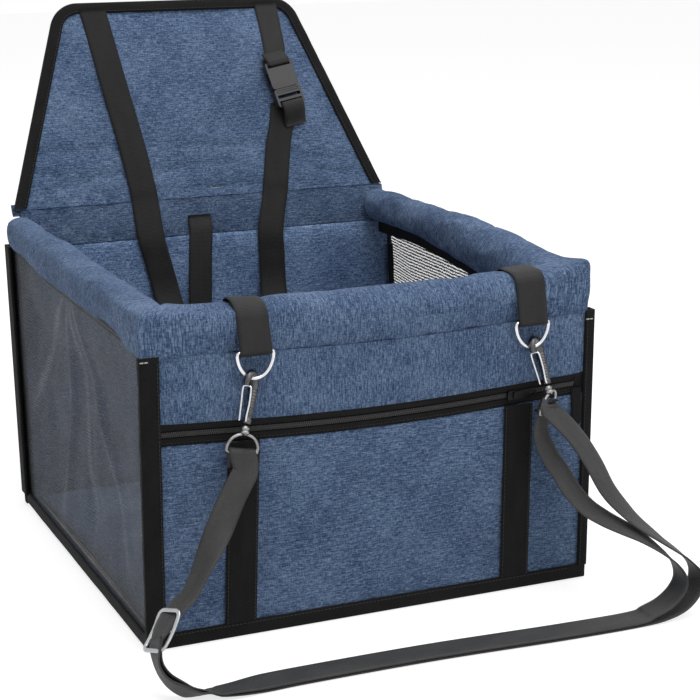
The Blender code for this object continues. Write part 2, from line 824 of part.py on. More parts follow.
def on_flap(u, v, w):
    return FOLD + Vector((u, 0, 0)) + FLAP_V * v + FLAP_W * w


SLANT = math.sqrt(1 + FLAP_TAPER**2)


def flap_outline(inset, arc_steps=7):
    """The flap's right half from the fold line up and round to the top middle, set in by inset."""
    height = FLAP_H - inset
    radius = FLAP_CORNER_R - inset
    half = FLAP_HALF - inset * SLANT
    centre_v = height - radius
    centre_u = half - FLAP_TAPER * centre_v - radius * SLANT
    start = math.atan(FLAP_TAPER)
    arc = []
    for k in range(arc_steps + 1):
        angle = start + (math.pi / 2 - start) * k / arc_steps
        arc.append((centre_u + radius * math.cos(angle), centre_v + radius * math.sin(angle)))
    sides = [(half - FLAP_TAPER * v, v) for v in spread(GAP, arc[0][1], 6)[:-1]]
    return sides + arc


def whole_outline(inset):
    right = flap_outline(inset)
    return [(FLAP_SHIFT + u, v) for u, v in right] + [(FLAP_SHIFT - u, v) for u, v in reversed(right)]


def edge_distance(u, v):
    side = (FLAP_HALF - FLAP_TAPER * v - abs(u - FLAP_SHIFT)) / SLANT
    return min(side, FLAP_H - v)


def flap_swell(u, v):
    return smooth_step((edge_distance(u, v) - BIND_W) / (2 * BIND_W)) * smooth_step(v / (1.5 * BIND_W))


def flap_face(u, v):
    return CROWN * flap_swell(u, v)


def relieved(v):
    return max(v, GAP + FOLD_RELIEF)


FLAP_SHARES = (-1, -0.93, -0.86, -0.76, -0.6, -0.3, 0, 0.3, 0.6, 0.76, 0.86, 0.93, 1)


def flap_cover():
    half_line = flap_outline(BIND_T + GAP)
    front = []
    back = []
    for half, v in half_line:
        front_row = []
        back_row = []
        for share in FLAP_SHARES:
            u = FLAP_SHIFT + half * share
            swell = flap_swell(u, v)
            front_row.append(on_flap(u, v, CROWN * swell))
            back_row.append(on_flap(u, relieved(v), -SEAM_T - (FLAP_T - SEAM_T) * swell))
        front.append(front_row)
        back.append(back_row)
    cover = slab("flap_cover", front, back, FABRIC)
    slot = [(u, v) for u, v in whole_outline(BIND_W + BOARD_INSET - GAP)]
    slot = [(slot[0][0], -BIND_W)] + slot + [(slot[-1][0], -BIND_W)]
    mid = -SEAM_T / 2
    thick = FLAP_BOARD_T / 2
    cut(cover, prism("flap_cutter", slot, (mid - thick - GAP, mid + thick + GAP), on_flap, FABRIC))
    board = []
    for u, v in whole_outline(BIND_W + BOARD_INSET):
        rise = relieved(v) - v
        board.append((u - math.copysign(FLAP_TAPER * rise, u - FLAP_SHIFT), v + rise))
    prism("flap_board", board, (mid - thick, mid + thick), on_flap, STIFF_BOARD)


def flap_binding():
    top = GAP + BIND_T
    bottom = -SEAM_T - GAP - BIND_T
    mid = -SEAM_T / 2
    profile = [
        (0, top - BIND_LIP), (BIND_LIP, top), (BIND_W, top), (BIND_W, top - BIND_T),
        (BIND_T, top - BIND_T), (BIND_T, bottom + BIND_T), (BIND_W, bottom + BIND_T),
        (BIND_W, bottom), (BIND_LIP, bottom), (0, bottom + BIND_LIP),
    ]
    rings = []
    lines = [whole_outline(inset) for inset, _ in profile]
    for k in range(len(lines[0])):
        ring = []
        for line, (_, w) in zip(lines, profile):
            u, v = line[k]
            ring.append(on_flap(u, relieved(v) if w < mid else max(v, BIND_T), w))
        rings.append(ring)
    loft("flap_binding", rings, TAPE, smooth=False)


flap_cover()
flap_binding()


# Straps of the backrest
def lying(u, v, width, lift=0):
    """The middle of a strap that lies on the flap's face at (u, v)."""
    high = max(flap_face(u - width / 2, v), flap_face(u, v), flap_face(u + width / 2, v))
    return on_flap(u, v, high + 2 * GAP + WEB_T / 2 + lift)


def on_back(x, z, off=0):
    """The middle of a strap that hangs against the back wall, or off it by some distance."""
    return Vector((x, back_front_y(z) - CROWN - 3 * GAP - WEB_T / 2 - off, z))


STRAP_TOP_V = FLAP_H - BIND_W - 2 * GAP
LEFT_STRAP = ((-0.0861, STRAP_TOP_V), (-0.0762, 0.1230), (-0.0665, 0.0540), (-0.0622, 0.0120))
RIGHT_STRAP = ((0.1000, 0.0920), (0.0950, 0.0700), (0.0880, 0.0500), (0.0790, 0.0120))
SHORT_STRAP = ((0.0980, STRAP_TOP_V - BIND_T), (0.1000, 0.1480))
STRAP_END_V = 0.0034  # where the straps of the flap end over the fold line
LOOP_END_V = 0.0020  # how far under it the loop begins, clear of them when the flap is down
FOLD_LIFT = 2 * GAP + WEB_T / 2


def flap_strap(name, stops, fold_x, width, count):
    path = [lying(u, v, width) for u, v in stops] + [on_flap(fold_x, STRAP_END_V, FOLD_LIFT)]
    path = smooth_path(path, count)
    ribbon(name, path, [Vector((1, 0, 0))] * count, width, WEB_T, WEB, level=True)


LEFT_FOLD_X = -0.0615
RIGHT_FOLD_X = 0.0765
flap_strap("flap_left_strap", LEFT_STRAP, LEFT_FOLD_X, WEB_W, 12)
flap_strap("flap_right_strap", RIGHT_STRAP, RIGHT_FOLD_X, BUCKLE_WEB_W, 9)

LOOP_STOPS = ((-0.0635, 0.2500, 0.0006), (-0.0620, 0.2250, 0.0016), (-0.0590, 0.1950, 0.0050))
LOOP_LEFT_X = -0.0540
LOOP_RIGHT_X = 0.0520
LOOP_TURN_Z = 0.1050
LOOP_Y = 0.1600
LOOP_BULGE = 0.0040


def strap_loop():
    start_left = FOLD + Vector((LEFT_FOLD_X, 0, 0)) - FLAP_V * LOOP_END_V + FLAP_W * FOLD_LIFT
    start_right = start_left + Vector((RIGHT_FOLD_X - LEFT_FOLD_X, 0, 0))
    radius = (LOOP_RIGHT_X - LOOP_LEFT_X) / 2
    middle = (LOOP_RIGHT_X + LOOP_LEFT_X) / 2
    left = [start_left] + [on_back(*stop) for stop in LOOP_STOPS]
    half_z = (LOOP_STOPS[-1][1] + LOOP_TURN_Z) / 2
    left.append(Vector((LOOP_LEFT_X, LOOP_Y + LOOP_BULGE, half_z)))
    turn = []
    for k in range(7):
        angle = math.pi + math.pi * k / 6
        turn.append(Vector((middle + radius * math.cos(angle), LOOP_Y, LOOP_TURN_Z + radius * math.sin(angle))))
    right = [Vector((LOOP_RIGHT_X, LOOP_Y + LOOP_BULGE, half_z))]
    right += [on_back(-x, z, off) for x, z, off in reversed(LOOP_STOPS)]
    right.append(start_right)
    path = smooth_path(left + turn + right, 41)
    flat = (1, 0, 0)
    edge = (0, 1, 0)
    back_again = (-1, 0, 0)
    stops = [(0, flat), (0.22, flat), (0.40, edge), (0.60, edge), (0.78, back_again), (1, back_again)]
    sides = turned_sides(stops, path)
    ribbon("strap_loop", path, sides, BUCKLE_WEB_W, WEB_T, WEB, level=True)


strap_loop()

TETHER_X = -0.0080
TETHER_LOW_X = -0.0205
TETHER_STOPS = ((0.2, 0.2300), (0.5, 0.1600), (1, 0.0300))  # share of the way across, and height
TETHER_W = 0.0240
TETHER_SHARES = (0.52, 0.32, 0.10)


def tether():
    low_y = BACK_TOP_Y - BACK_T
    along = Vector((0, CREASE_Y - low_y, CREASE_Z - CREASE_LOW_Z))
    out = Vector((0, -along.z, along.y)).normalized()
    start = Vector((TETHER_X, low_y, CREASE_LOW_Z))
    lift = CROWN + GAP + WEB_T / 2
    path = [start + along * share + out * lift for share in TETHER_SHARES]
    path += [on_back(TETHER_X + (TETHER_LOW_X - TETHER_X) * share, z) for share, z in TETHER_STOPS]
    count = 22
    ribbon("tether_strap", smooth_path(path, count), [Vector((1, 0, 0))] * count, TETHER_W, WEB_T, WEB)


tether()

# Side-release buckle, in its own directions: a down the strap, b across, c off the flap
BUCKLE_U = 0.1000
BUCKLE_V = 0.1180
BUCKLE_TILT = math.radians(11)
BUCKLE_HALF_T = 0.0042
BUCKLE_W0 = 0.0024 + CROWN + WEB_T + BUCKLE_HALF_T
BUCKLE_HALF = 0.0148
FEMALE_A0 = -0.0160
FEMALE_A1 = 0.0125
MALE_A0 = FEMALE_A1 + 2 * GAP
MALE_A1 = 0.0320
SLOT_HALF = 0.0126
SLOT_W = 0.0034
BAR_W = 0.0028
CAVITY_HALF = 0.0120
CAVITY_T = 0.0026
PRONG_R = 0.0014


def in_buckle(a, b, c):
    u = BUCKLE_U + a * math.sin(BUCKLE_TILT) + b * math.cos(BUCKLE_TILT)
    v = BUCKLE_V - a * math.cos(BUCKLE_TILT) + b * math.sin(BUCKLE_TILT)
    return on_flap(u, v, BUCKLE_W0 + c)


BUCKLE_A = FLAP_V * -math.cos(BUCKLE_TILT) + Vector((math.sin(BUCKLE_TILT), 0, 0))
BUCKLE_B = FLAP_V * math.sin(BUCKLE_TILT) + Vector((math.cos(BUCKLE_TILT), 0, 0))
BUCKLE_FRAME = Matrix((BUCKLE_A, BUCKLE_B, FLAP_W)).transposed().to_4x4()
BUCKLE_FRAME.translation = in_buckle(0, 0, 0)


def buckle_block(name, a0, a1, b0, b1, c0, c1, corner=0):
    outline = box_outline(a0, a1, b0, b1, corner)
    made = prism(name, outline, (c0, c1), lambda a, b, c: Vector((a, b, c)), BUCKLE_PLASTIC)
    made.matrix_world = BUCKLE_FRAME
    return made


def buckle():
    deep = 2 * BUCKLE_HALF_T
    female = buckle_block(
        "buckle_female", FEMALE_A0, FEMALE_A1, -BUCKLE_HALF, BUCKLE_HALF,
        -BUCKLE_HALF_T, BUCKLE_HALF_T, BAR_W,
    )
    slot_a0 = FEMALE_A0 + BAR_W
    cut(female, buckle_block("slot_cutter", slot_a0, slot_a0 + SLOT_W, -SLOT_HALF, SLOT_HALF, -deep, deep))
    cavity_a0 = slot_a0 + SLOT_W + BAR_W
    cut(female, buckle_block(
        "cavity_cutter", cavity_a0, FEMALE_A1 + BAR_W, -CAVITY_HALF, CAVITY_HALF, -CAVITY_T, CAVITY_T,
    ))
    window_a0 = cavity_a0 + BAR_W / 2
    window_a1 = FEMALE_A1 - 2 * BAR_W
    for side, name in ((-1, "left"), (1, "right")):
        ways = sorted((side * (CAVITY_HALF - BAR_W / 3), side * 2 * BUCKLE_HALF))
        cut(female, buckle_block(
            name + "_window_cutter", window_a0, window_a1, *ways, GAP - CAVITY_T, CAVITY_T - GAP,
        ))
    male = buckle_block(
        "buckle_male", MALE_A0, MALE_A1, -BUCKLE_HALF, BUCKLE_HALF, -BUCKLE_HALF_T, BUCKLE_HALF_T, BAR_W,
    )
    tongue = buckle_block(
        "tongue_shape", cavity_a0 + SLOT_W, MALE_A0 + BAR_W, -BAR_W / 2, BAR_W / 2,
        -CAVITY_T + 2 * GAP, CAVITY_T - 2 * GAP,
    )
    cut(male, tongue, "UNION")
    low_slot = MALE_A1 - BAR_W - SLOT_W
    for k, a in enumerate((low_slot, low_slot - SLOT_W - BAR_W)):
        cut(male, buckle_block(f"ladder_cutter_{k}", a, a + SLOT_W, -SLOT_HALF, SLOT_HALF, -deep, deep))
    step = 3 * BAR_W / 4
    for k in range(2):
        a = MALE_A0 + BAR_W / 2 + step * k
        cut(male, buckle_block(
            f"rib_cutter_{k}", a, a + step / 2, -BUCKLE_HALF + BAR_W, BUCKLE_HALF - BAR_W,
            BUCKLE_HALF_T - PRONG_R / 2, deep,
        ))
    for side, name in ((-1, "left"), (1, "right")):
        root = MALE_A0 - 3 * GAP
        tip = window_a0
        line = [
            (root, side * (BAR_W * 2.1)), (root - BAR_W, side * (BAR_W * 2.5)),
            ((root + tip) / 2, side * (CAVITY_HALF - BAR_W)),
            (tip + BAR_W / 2, side * (CAVITY_HALF - PRONG_R - 2 * GAP)), (tip, side * (CAVITY_HALF - BAR_W)),
        ]
        path = smooth_path([in_buckle(a, b, 0) for a, b in line], 12)
        wire(f"buckle_{name}_prong", path, PRONG_R, BUCKLE_PLASTIC, normal=FLAP_W)


buckle()


def buckle_webbing():
    """The short strap round the upper bar, and the loop of the long strap at the lower bars."""
    turn = WEB_T / 2 + 2 * GAP
    deep = BUCKLE_HALF_T + turn
    soft = turn * math.sqrt(0.5)
    bar_0 = FEMALE_A0
    bar_1 = FEMALE_A0 + BAR_W
    points = [lying(u, v, BUCKLE_WEB_W) for u, v in SHORT_STRAP]
    places = (
        (bar_0 - 2 * BAR_W, -deep), (bar_0, -deep), (bar_1, -deep),
        (bar_1 + soft, -BUCKLE_HALF_T - soft), (bar_1 + turn, -BUCKLE_HALF_T),
        (bar_1 + turn, 0), (bar_1 + turn, BUCKLE_HALF_T), (bar_1 + soft, BUCKLE_HALF_T + soft),
        (bar_1, deep), (bar_0, deep), (bar_0 - soft, BUCKLE_HALF_T + soft),
        (bar_0 - 2 * BAR_W, BUCKLE_HALF_T / 2), (bar_0 - 4 * BAR_W, -BUCKLE_HALF_T / 2),
    )
    points += [in_buckle(a, 0, c) for a, c in places]
    path = paced_path(points, LEAD_SPAN)
    sides = turned_sides([(0, (1, 0, 0)), (0.3, BUCKLE_B), (1, BUCKLE_B)], path)
    ribbon("buckle_short_strap", path, sides, BUCKLE_WEB_W, WEB_T, WEB, level=True)
    end_0 = MALE_A1 - BAR_W
    end_1 = MALE_A1
    places = (
        (end_0 - turn, -BUCKLE_HALF_T / 2), (end_0 - turn, BUCKLE_HALF_T),
        (end_0 - soft, BUCKLE_HALF_T + soft), (end_0, deep), (end_1, deep + GAP),
        (end_1 + 2 * BAR_W, BUCKLE_HALF_T), (end_1 + 4 * BAR_W, 0),
        (end_1 + 5.6 * BAR_W, -BUCKLE_HALF_T * 0.8), (end_1 + 7 * BAR_W, -BUCKLE_HALF_T),
    )
    points = [in_buckle(a, 0, c) for a, c in places]
    path = paced_path(points, LEAD_SPAN)
    ribbon("buckle_loop", path, [BUCKLE_B] * len(path), BUCKLE_WEB_W, WEB_T, WEB)


buckle_webbing()


# Ring loops over the front rim, with their D-rings
def ring_loop(name, x, bar_z):
    """Webbing from inside the box over the rim, closed round the straight bar of the ring."""
    z_axis = rim_z(x)
    lift = RIM_R + LOOP_LIFT + WEB_T / 2
    bar = Vector((x, RING_Y, bar_z))
    turn = RING_WIRE_R + 1.5 * GAP + WEB_T / 2
    square = corner_share(RIM_HALF - abs(x) - WEB_W / 2)
    points = []
    for degrees in (200, 180, 155, 135, 110, 90, 70, 45, 30, 12):
        angle = math.radians(degrees)
        a = math.cos(angle)
        s = math.sin(angle)
        power = ROUND_TOP if s > 0 else ROUND_LOW
        power += (ROUND_CORNER - power) * square
        points.append(Vector((
            x, -RIM_HALF - lift * math.copysign(abs(a) ** (2 / power), a),
            z_axis + lift * math.copysign(abs(s) ** (2 / power), s),
        )))
    for degrees in (10, -20, -50, -80, -110, -140, -165):
        angle = math.radians(degrees)
        points.append(bar + Vector((0, -turn * math.cos(angle), turn * math.sin(angle))))
    path = paced_path(points, LEAD_SPAN / 2)
    slope = (rim_z(x + WEB_W / 2) - rim_z(x - WEB_W / 2)) / WEB_W
    sides = turned_sides([(0, (1, 0, slope)), (0.6, (1, 0, slope)), (0.8, (1, 0, 0)), (1, (1, 0, 0))], path)
    ribbon(name, path, sides, WEB_W, WEB_T, WEB)


def d_ring(name, x, turn, bar_z):
    path = []
    corner = RING_WIRE_R * 1.6
    path.append((-RING_HALF + corner, 0))
    path += [(s * (RING_HALF - corner), 0) for s in (-0.5, 0, 0.5, 1)]
    path.append((RING_HALF - corner * 0.3, -corner * 0.3))
    for k in range(13):
        angle = math.radians(-8 - 164 * k / 12)
        path.append((RING_HALF * math.cos(angle), RING_DROP * math.sin(angle)))
    path.append((-RING_HALF + corner * 0.3, -corner * 0.3))
    c = math.cos(turn)
    s = math.sin(turn)
    points = [Vector((x + a * c, RING_Y + a * s, bar_z + b)) for a, b in path]
    ring = wire(name, points, RING_WIRE_R, CHROME, closed=True, sides=10, normal=(-s, c, 0))
    return ring


for name, x, bar_z in (("left", LEFT_RING_X, LEFT_RING_Z), ("right", RIGHT_RING_X, RIGHT_RING_Z)):
    ring_loop(name + "_ring_loop", x, bar_z)
    d_ring(name + "_d_ring", x, 0, bar_z)

# Swivel snaps, each with a hook, a sprung wire gate, a barrel and an eye for the lead
GATE_TURN = math.radians(37)
HOOK_LINE = (
    (0.0004, 0.0046), (0.0020, 0.0095), (0.0040, 0.0160), (0.0050, 0.0235), (0.0051, 0.0310),
    (0.0048, 0.0373), (0.0032, 0.0421), (-0.0003, 0.0445), (-0.0040, 0.0432), (-0.0064, 0.0397),
    (-0.0071, 0.0355),
)
HOOK_SHARES = (1.25, 1.0, 1.05, 1.05, 1.0, 0.98, 0.92, 0.9, 0.88, 0.85, 0.72)
GATE_S = -0.0034
GATE_LOW_T = 0.0110
GATE_HIGH_T = 0.0357
GATE_HALF = 0.0042
GATE_FOOT_HALF = 0.0034
BARREL_R = 0.0038
BARREL_LOW = -0.0046
BARREL_HIGH = 0.0033
EYE_TOP_SHARE = 0.8  # where along the barrel's lower part the eye's arch meets it


class Axes:
    """Directions of a snap: up its length, towards its spine, and across both."""

    def __init__(self, base, tip, spine):
        self.base = Vector(base)
        self.up = (Vector(tip) - self.base).normalized()
        rough = Vector(spine)
        self.spine = (rough - self.up * rough.dot(self.up)).normalized()
        self.across = self.up.cross(self.spine)

    def at(self, s, t, n=0):
        return self.base + self.spine * s + self.up * t + self.across * n


def hook(name, axes):
    path = [axes.at(s, t) for s, t in HOOK_LINE]
    fine = smooth_path(path, 25)
    rings = []
    for k, (p, t) in enumerate(zip(fine, tangents(fine))):
        share = k / (len(fine) - 1) * (len(HOOK_SHARES) - 1)
        low = min(int(share), len(HOOK_SHARES) - 2)
        scale = HOOK_SHARES[low] + (HOOK_SHARES[low + 1] - HOOK_SHARES[low]) * (share - low)
        side = axes.across.cross(t).normalized()
        ring = []
        for i in range(10):
            angle = 2 * math.pi * i / 10
            radius = HOOK_R * scale
            ring.append(p + side * (radius * math.cos(angle)) + axes.across * (radius * 1.08 * math.sin(angle)))
        rings.append(ring)
    return loft(name, rings, HOOK_METAL)


def gate(name, axes):
    line = [(GATE_S - GATE_FOOT_HALF / 3, GATE_LOW_T - GATE_FOOT_HALF / 2, -GATE_FOOT_HALF)]
    line.append((GATE_S - GATE_FOOT_HALF / 3, GATE_LOW_T + GATE_FOOT_HALF, -GATE_FOOT_HALF))
    line.append((GATE_S, (GATE_LOW_T + GATE_HIGH_T) / 2, -GATE_HALF))
    line.append((GATE_S, GATE_HIGH_T - GATE_HALF / 2, -GATE_HALF))
    line.append((GATE_S, GATE_HIGH_T, -GATE_HALF / 2))
    line += [(s, t, -n) for s, t, n in reversed(line)]
    path = smooth_path([axes.at(*p) for p in line], 26)
    return wire(name, path, GATE_WIRE_R, CHROME, sides=6, normal=axes.spine)


def swivel_eye(name, axes, bar):
    """The barrel on the snap's length and the D-shaped eye under it, joined."""
    rings = []
    for t in (BARREL_LOW, BARREL_LOW * 0.6, BARREL_HIGH * 0.4, BARREL_HIGH):
        scale = 0.82 if t in (BARREL_LOW, BARREL_HIGH) else 1
        ring = []
        for i in range(12):
            angle = 2 * math.pi * i / 12
            ring.append(axes.at(BARREL_R * scale * math.cos(angle), t, BARREL_R * scale * math.sin(angle)))
        rings.append(ring)
    barrel = loft(name, rings, CHROME)
    top = axes.at(0, BARREL_LOW * EYE_TOP_SHARE)
    bar = Vector(bar)
    down = (bar - top).normalized()
    wide = (Vector((1, 0, 0)) - down * down.x).normalized()
    drop = (bar - top).length
    corner = EYE_WIRE_R * 1.5
    path = [bar + wide * (s * (EYE_HALF - corner)) for s in (-1, -0.5, 0, 0.5, 1)]
    path.append(bar + wide * (EYE_HALF - corner * 0.3) - down * (corner * 0.3))
    for k in range(13):
        angle = math.pi * (0.06 + 0.88 * k / 12)
        path.append(bar + wide * (EYE_HALF * math.cos(angle)) - down * (drop * math.sin(angle) ** 0.8))
    path.append(bar - wide * (EYE_HALF - corner * 0.3) - down * (corner * 0.3))
    eye = wire(name + "_shape", path, EYE_WIRE_R, CHROME, closed=True, sides=8, normal=down.cross(wide))
    cut(barrel, eye, "UNION")
    return barrel


def before_ring(ring_x, points):
    """A table of points whose first two numbers are counted from the middle of a ring."""
    return [(ring_x + point[0], RING_Y + point[1], *point[2:]) for point in points]


LEFT_BASE, LEFT_TIP, LEFT_BAR = before_ring(LEFT_RING_X, (
    (-0.0084, -0.0050, 0.1812), (-0.0012, 0.0024, 0.2285), (-0.0127, -0.0090, 0.1545),
))
RIGHT_BASE, RIGHT_TIP, RIGHT_BAR = before_ring(RIGHT_RING_X, (
    (0.0166, -0.0050, 0.1822), (0.0011, 0.0024, 0.2275), (0.0151, -0.0095, 0.1545),
))
SPINE_WAY = (math.sin(GATE_TURN), math.cos(GATE_TURN), 0)
LEFT_AXES = Axes(LEFT_BASE, LEFT_TIP, SPINE_WAY)
RIGHT_AXES = Axes(RIGHT_BASE, RIGHT_TIP, SPINE_WAY)
for name, axes, bar in (("left", LEFT_AXES, LEFT_BAR), ("right", RIGHT_AXES, RIGHT_BAR)):
    hook(name + "_snap_hook", axes)
    gate(name + "_snap_gate", axes)
    swivel_eye(name + "_swivel_eye", axes, bar)

# The lead: one strap from eye to eye, and a second one back along it to the slider
LEAD_TILT = math.radians(6)
LEAD_FLOOR_Z = 0.0002 + LEAD_T / 2 + math.sin(LEAD_TILT) * LEAD_W / 2
LEAD_STEP = LEAD_T + 2 * GAP
LEFT_DOWN = before_ring(LEFT_RING_X, (
    (-0.0142, -0.0130, 0.1490), (-0.0209, -0.0165, 0.1392), (-0.0304, -0.0210, 0.1264),
    (-0.0431, -0.0290, 0.1082), (-0.0578, -0.0390, 0.0892), (-0.0742, -0.0500, 0.0695),
    (-0.0885, -0.0560, 0.0603), (-0.0984, -0.0605, 0.0527), (-0.1059, -0.0660, 0.0430),
    (-0.1091, -0.0720, 0.0335), (-0.1091, -0.0770, 0.0250), (-0.1050, -0.0830, 0.0165),
    (-0.0964, -0.0880, 0.0098), (-0.0824, -0.0920, 0.0055),
))
FLOOR_RUN = before_ring(0, (
    (-0.1650, -0.0925), (-0.1085, -0.0905), (0.0020, -0.0920), (0.1150, -0.0990), (0.1850, -0.1010),
))
RIGHT_UP = before_ring(RIGHT_RING_X, (
    (0.0746, -0.1010, 0.0042), (0.0936, -0.1005, 0.0105), (0.1061, -0.0980, 0.0215),
    (0.1096, -0.0935, 0.0338), (0.1026, -0.0880, 0.0455), (0.0856, -0.0780, 0.0595),
    (0.0712, -0.0660, 0.0719), (0.0616, -0.0570, 0.0828), (0.0517, -0.0450, 0.0981),
    (0.0426, -0.0330, 0.1170), (0.0346, -0.0240, 0.1320), (0.0246, -0.0190, 0.1385),
    (0.0174, -0.0146, 0.1440), (0.0154, -0.0128, 0.1500),
))
RETURN_DOWN = before_ring(RIGHT_RING_X, (
    (0.0121, -0.0075, 0.1480), (0.0094, -0.0135, 0.1330), (0.0131, -0.0210, 0.1180),
    (0.0224, -0.0320, 0.0999), (0.0313, -0.0440, 0.0864), (0.0419, -0.0560, 0.0782),
    (0.0536, -0.0660, 0.0718), (0.0658, -0.0750, 0.0651), (0.0802, -0.0840, 0.0540),
    (0.0906, -0.0905, 0.0430), (0.0941, -0.0950, 0.0315), (0.0896, -0.0975, 0.0215),
    (0.0766, -0.0995, 0.0125), (0.0606, -0.1005, 0.0075),
))


def on_bar(bar, degrees, shift=0):
    """A place on the strap's middle as it goes round the eye's bar, from 0 in front over 90 on top."""
    turn = EYE_WIRE_R + LEAD_T / 2 + GAP
    angle = math.radians(degrees)
    return Vector(bar) + Vector((shift, -turn * math.cos(angle), turn * math.sin(angle)))


TAIL = 0.0120
BAR_SHIFT = 0.0002
TURN_SLACK = 0.45


def bar_way(axes, bar):
    """The direction of the eye's bar."""
    down = (Vector(bar) - axes.at(0, BARREL_LOW * EYE_TOP_SHARE)).normalized()
    return (Vector((1, 0, 0)) - down * down.x).normalized()


LEAD_TURN_SHARES = (0.05, 0.165, 0.79, 0.95)  # where the lead turns flat to the floor and back
RETURN_TURN_SHARES = (0.04, 0.24)


def lead():
    east = bar_way(LEFT_AXES, LEFT_BAR)
    right_east = bar_way(RIGHT_AXES, RIGHT_BAR)
    north = (0, math.cos(LEAD_TILT), math.sin(LEAD_TILT))
    floor = [(x, y, LEAD_FLOOR_Z) for x, y in FLOOR_RUN]
    points = [on_bar(LEFT_BAR, 180) - Vector((0, 0, TAIL))]
    points += [on_bar(LEFT_BAR, degrees) for degrees in (180, 135, 90, 45, 0)]
    points += LEFT_DOWN + floor + RIGHT_UP
    points += [on_bar(RIGHT_BAR, degrees, BAR_SHIFT) for degrees in (0, 36, 68)]
    path = paced_path(points, LEAD_SPAN)
    left_end, left_flat, right_flat, right_end = LEAD_TURN_SHARES
    turns = [(0, east), (left_end, east), (left_flat, north), (right_flat, north), (right_end, right_east)]
    sides = turned_sides(turns + [(1, right_east)], path)
    ribbon("lead_strap", path, sides, LEAD_W, LEAD_T, WEB)
    floor = [(x, y, LEAD_FLOOR_Z + LEAD_STEP) for x, y in reversed(FLOOR_RUN)]
    back = []
    main = [Vector(p) for p in LEFT_DOWN]
    ways = tangents(main)
    for k in range(len(main) - 1, 7, -1):
        inward = ways[k].cross(Vector((0, 1, 0))).normalized()
        back.append(main[k] + inward * (LEAD_STEP * (1 + TURN_SLACK)))
    points = [on_bar(RIGHT_BAR, degrees, -BAR_SHIFT) for degrees in (112, 146, 180)]
    points += RETURN_DOWN + floor + back
    path = paced_path(points, LEAD_SPAN)
    turned, flat = RETURN_TURN_SHARES
    sides = turned_sides([(0, right_east), (turned, right_east), (flat, north), (1, north)], path)
    ribbon("lead_return_strap", path, sides, LEAD_W, LEAD_T, WEB)


lead()


# The sliding adjuster on the lead's left strand, round both straps
def lead_slider():
    stops = [Vector(p) for p in LEFT_DOWN]
    centre = (stops[SLIDER_STOP] + stops[SLIDER_STOP + 1]) / 2
    along = (stops[SLIDER_STOP + 1] - stops[SLIDER_STOP]).normalized()
    across = Vector((0, math.cos(LEAD_TILT), math.sin(LEAD_TILT)))
    across = (across - along * across.dot(along)).normalized()
    inward = along.cross(across).normalized()
    frame = Matrix((along, across, inward)).transposed().to_4x4()
    frame.translation = centre + inward * (LEAD_STEP * (1 + TURN_SLACK) / 2)
    half_t = ADJUSTER_BAR + ADJUSTER_ROOM

    def block(name, a0, a1, b0, b1, c0, c1, corner=0):
        outline = box_outline(a0, a1, b0, b1, corner)
        made = prism(name, outline, (c0, c1), lambda a, b, c: Vector((a, b, c)), CHROME)
        made.matrix_world = frame
        return made

    half_l = ADJUSTER_L / 2
    half_w = LEAD_W / 2 + ADJUSTER_SIDE + 3 * GAP
    body = block("lead_slider", -half_l, half_l, -half_w, half_w, -half_t, half_t, ADJUSTER_BAR)
    inside = LEAD_W / 2 + 3 * GAP
    cut(body, block("adjuster_tunnel_cutter", -2 * half_l, 2 * half_l, -inside, inside, -ADJUSTER_ROOM, ADJUSTER_ROOM))
    window = half_l - ADJUSTER_END
    cut(body, block("adjuster_outer_cutter", -window, window, -inside + GAP, inside - GAP, -2 * half_t, 0))
    for sign, name in ((-1, "low"), (1, "high")):
        ends = sorted((sign * ADJUSTER_END / 2, sign * (half_l + GAP)))
        cut(body, block(f"adjuster_{name}_cutter", *ends, -inside + GAP, inside - GAP, 0, 2 * half_t))


lead_slider()
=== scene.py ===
"""The looks of the dog car seat: cloth, webbing, mesh, metal and plastic round the fixed frame."""

import math

import bpy
import numpy as np
from mathutils import Matrix, Vector, noise


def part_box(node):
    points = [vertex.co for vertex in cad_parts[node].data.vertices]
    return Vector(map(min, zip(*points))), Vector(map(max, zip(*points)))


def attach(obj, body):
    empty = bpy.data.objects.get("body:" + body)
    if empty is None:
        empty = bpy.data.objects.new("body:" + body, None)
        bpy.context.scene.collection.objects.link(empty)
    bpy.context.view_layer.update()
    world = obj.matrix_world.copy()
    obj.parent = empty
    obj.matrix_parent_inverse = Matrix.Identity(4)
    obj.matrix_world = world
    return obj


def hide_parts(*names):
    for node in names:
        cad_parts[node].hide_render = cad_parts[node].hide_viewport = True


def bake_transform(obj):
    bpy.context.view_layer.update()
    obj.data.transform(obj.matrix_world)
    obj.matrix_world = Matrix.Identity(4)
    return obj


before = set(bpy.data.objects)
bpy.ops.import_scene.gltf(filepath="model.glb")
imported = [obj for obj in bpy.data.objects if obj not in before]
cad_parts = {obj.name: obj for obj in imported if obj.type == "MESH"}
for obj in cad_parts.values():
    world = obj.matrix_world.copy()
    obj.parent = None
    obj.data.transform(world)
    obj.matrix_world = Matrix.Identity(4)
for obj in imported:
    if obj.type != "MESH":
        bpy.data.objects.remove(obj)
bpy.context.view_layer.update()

# Camera at the photograph's place
CAMERA_AT = (-0.604, -1.518, 0.614)
CAMERA_YAW = 23.75
CAMERA_PITCH = -14.9
FOCAL_PX = 1854
FRAME_PX = 700
SENSOR = 36


def camera():
    data = bpy.data.cameras.new("photo_camera")
    data.sensor_width = SENSOR
    data.lens = FOCAL_PX / FRAME_PX * SENSOR
    made = bpy.data.objects.new("photo_camera", data)
    made.location = CAMERA_AT
    made.rotation_euler = (math.radians(90 + CAMERA_PITCH), 0, math.radians(-CAMERA_YAW))
    bpy.context.scene.collection.objects.link(made)
    bpy.context.scene.camera = made


camera()

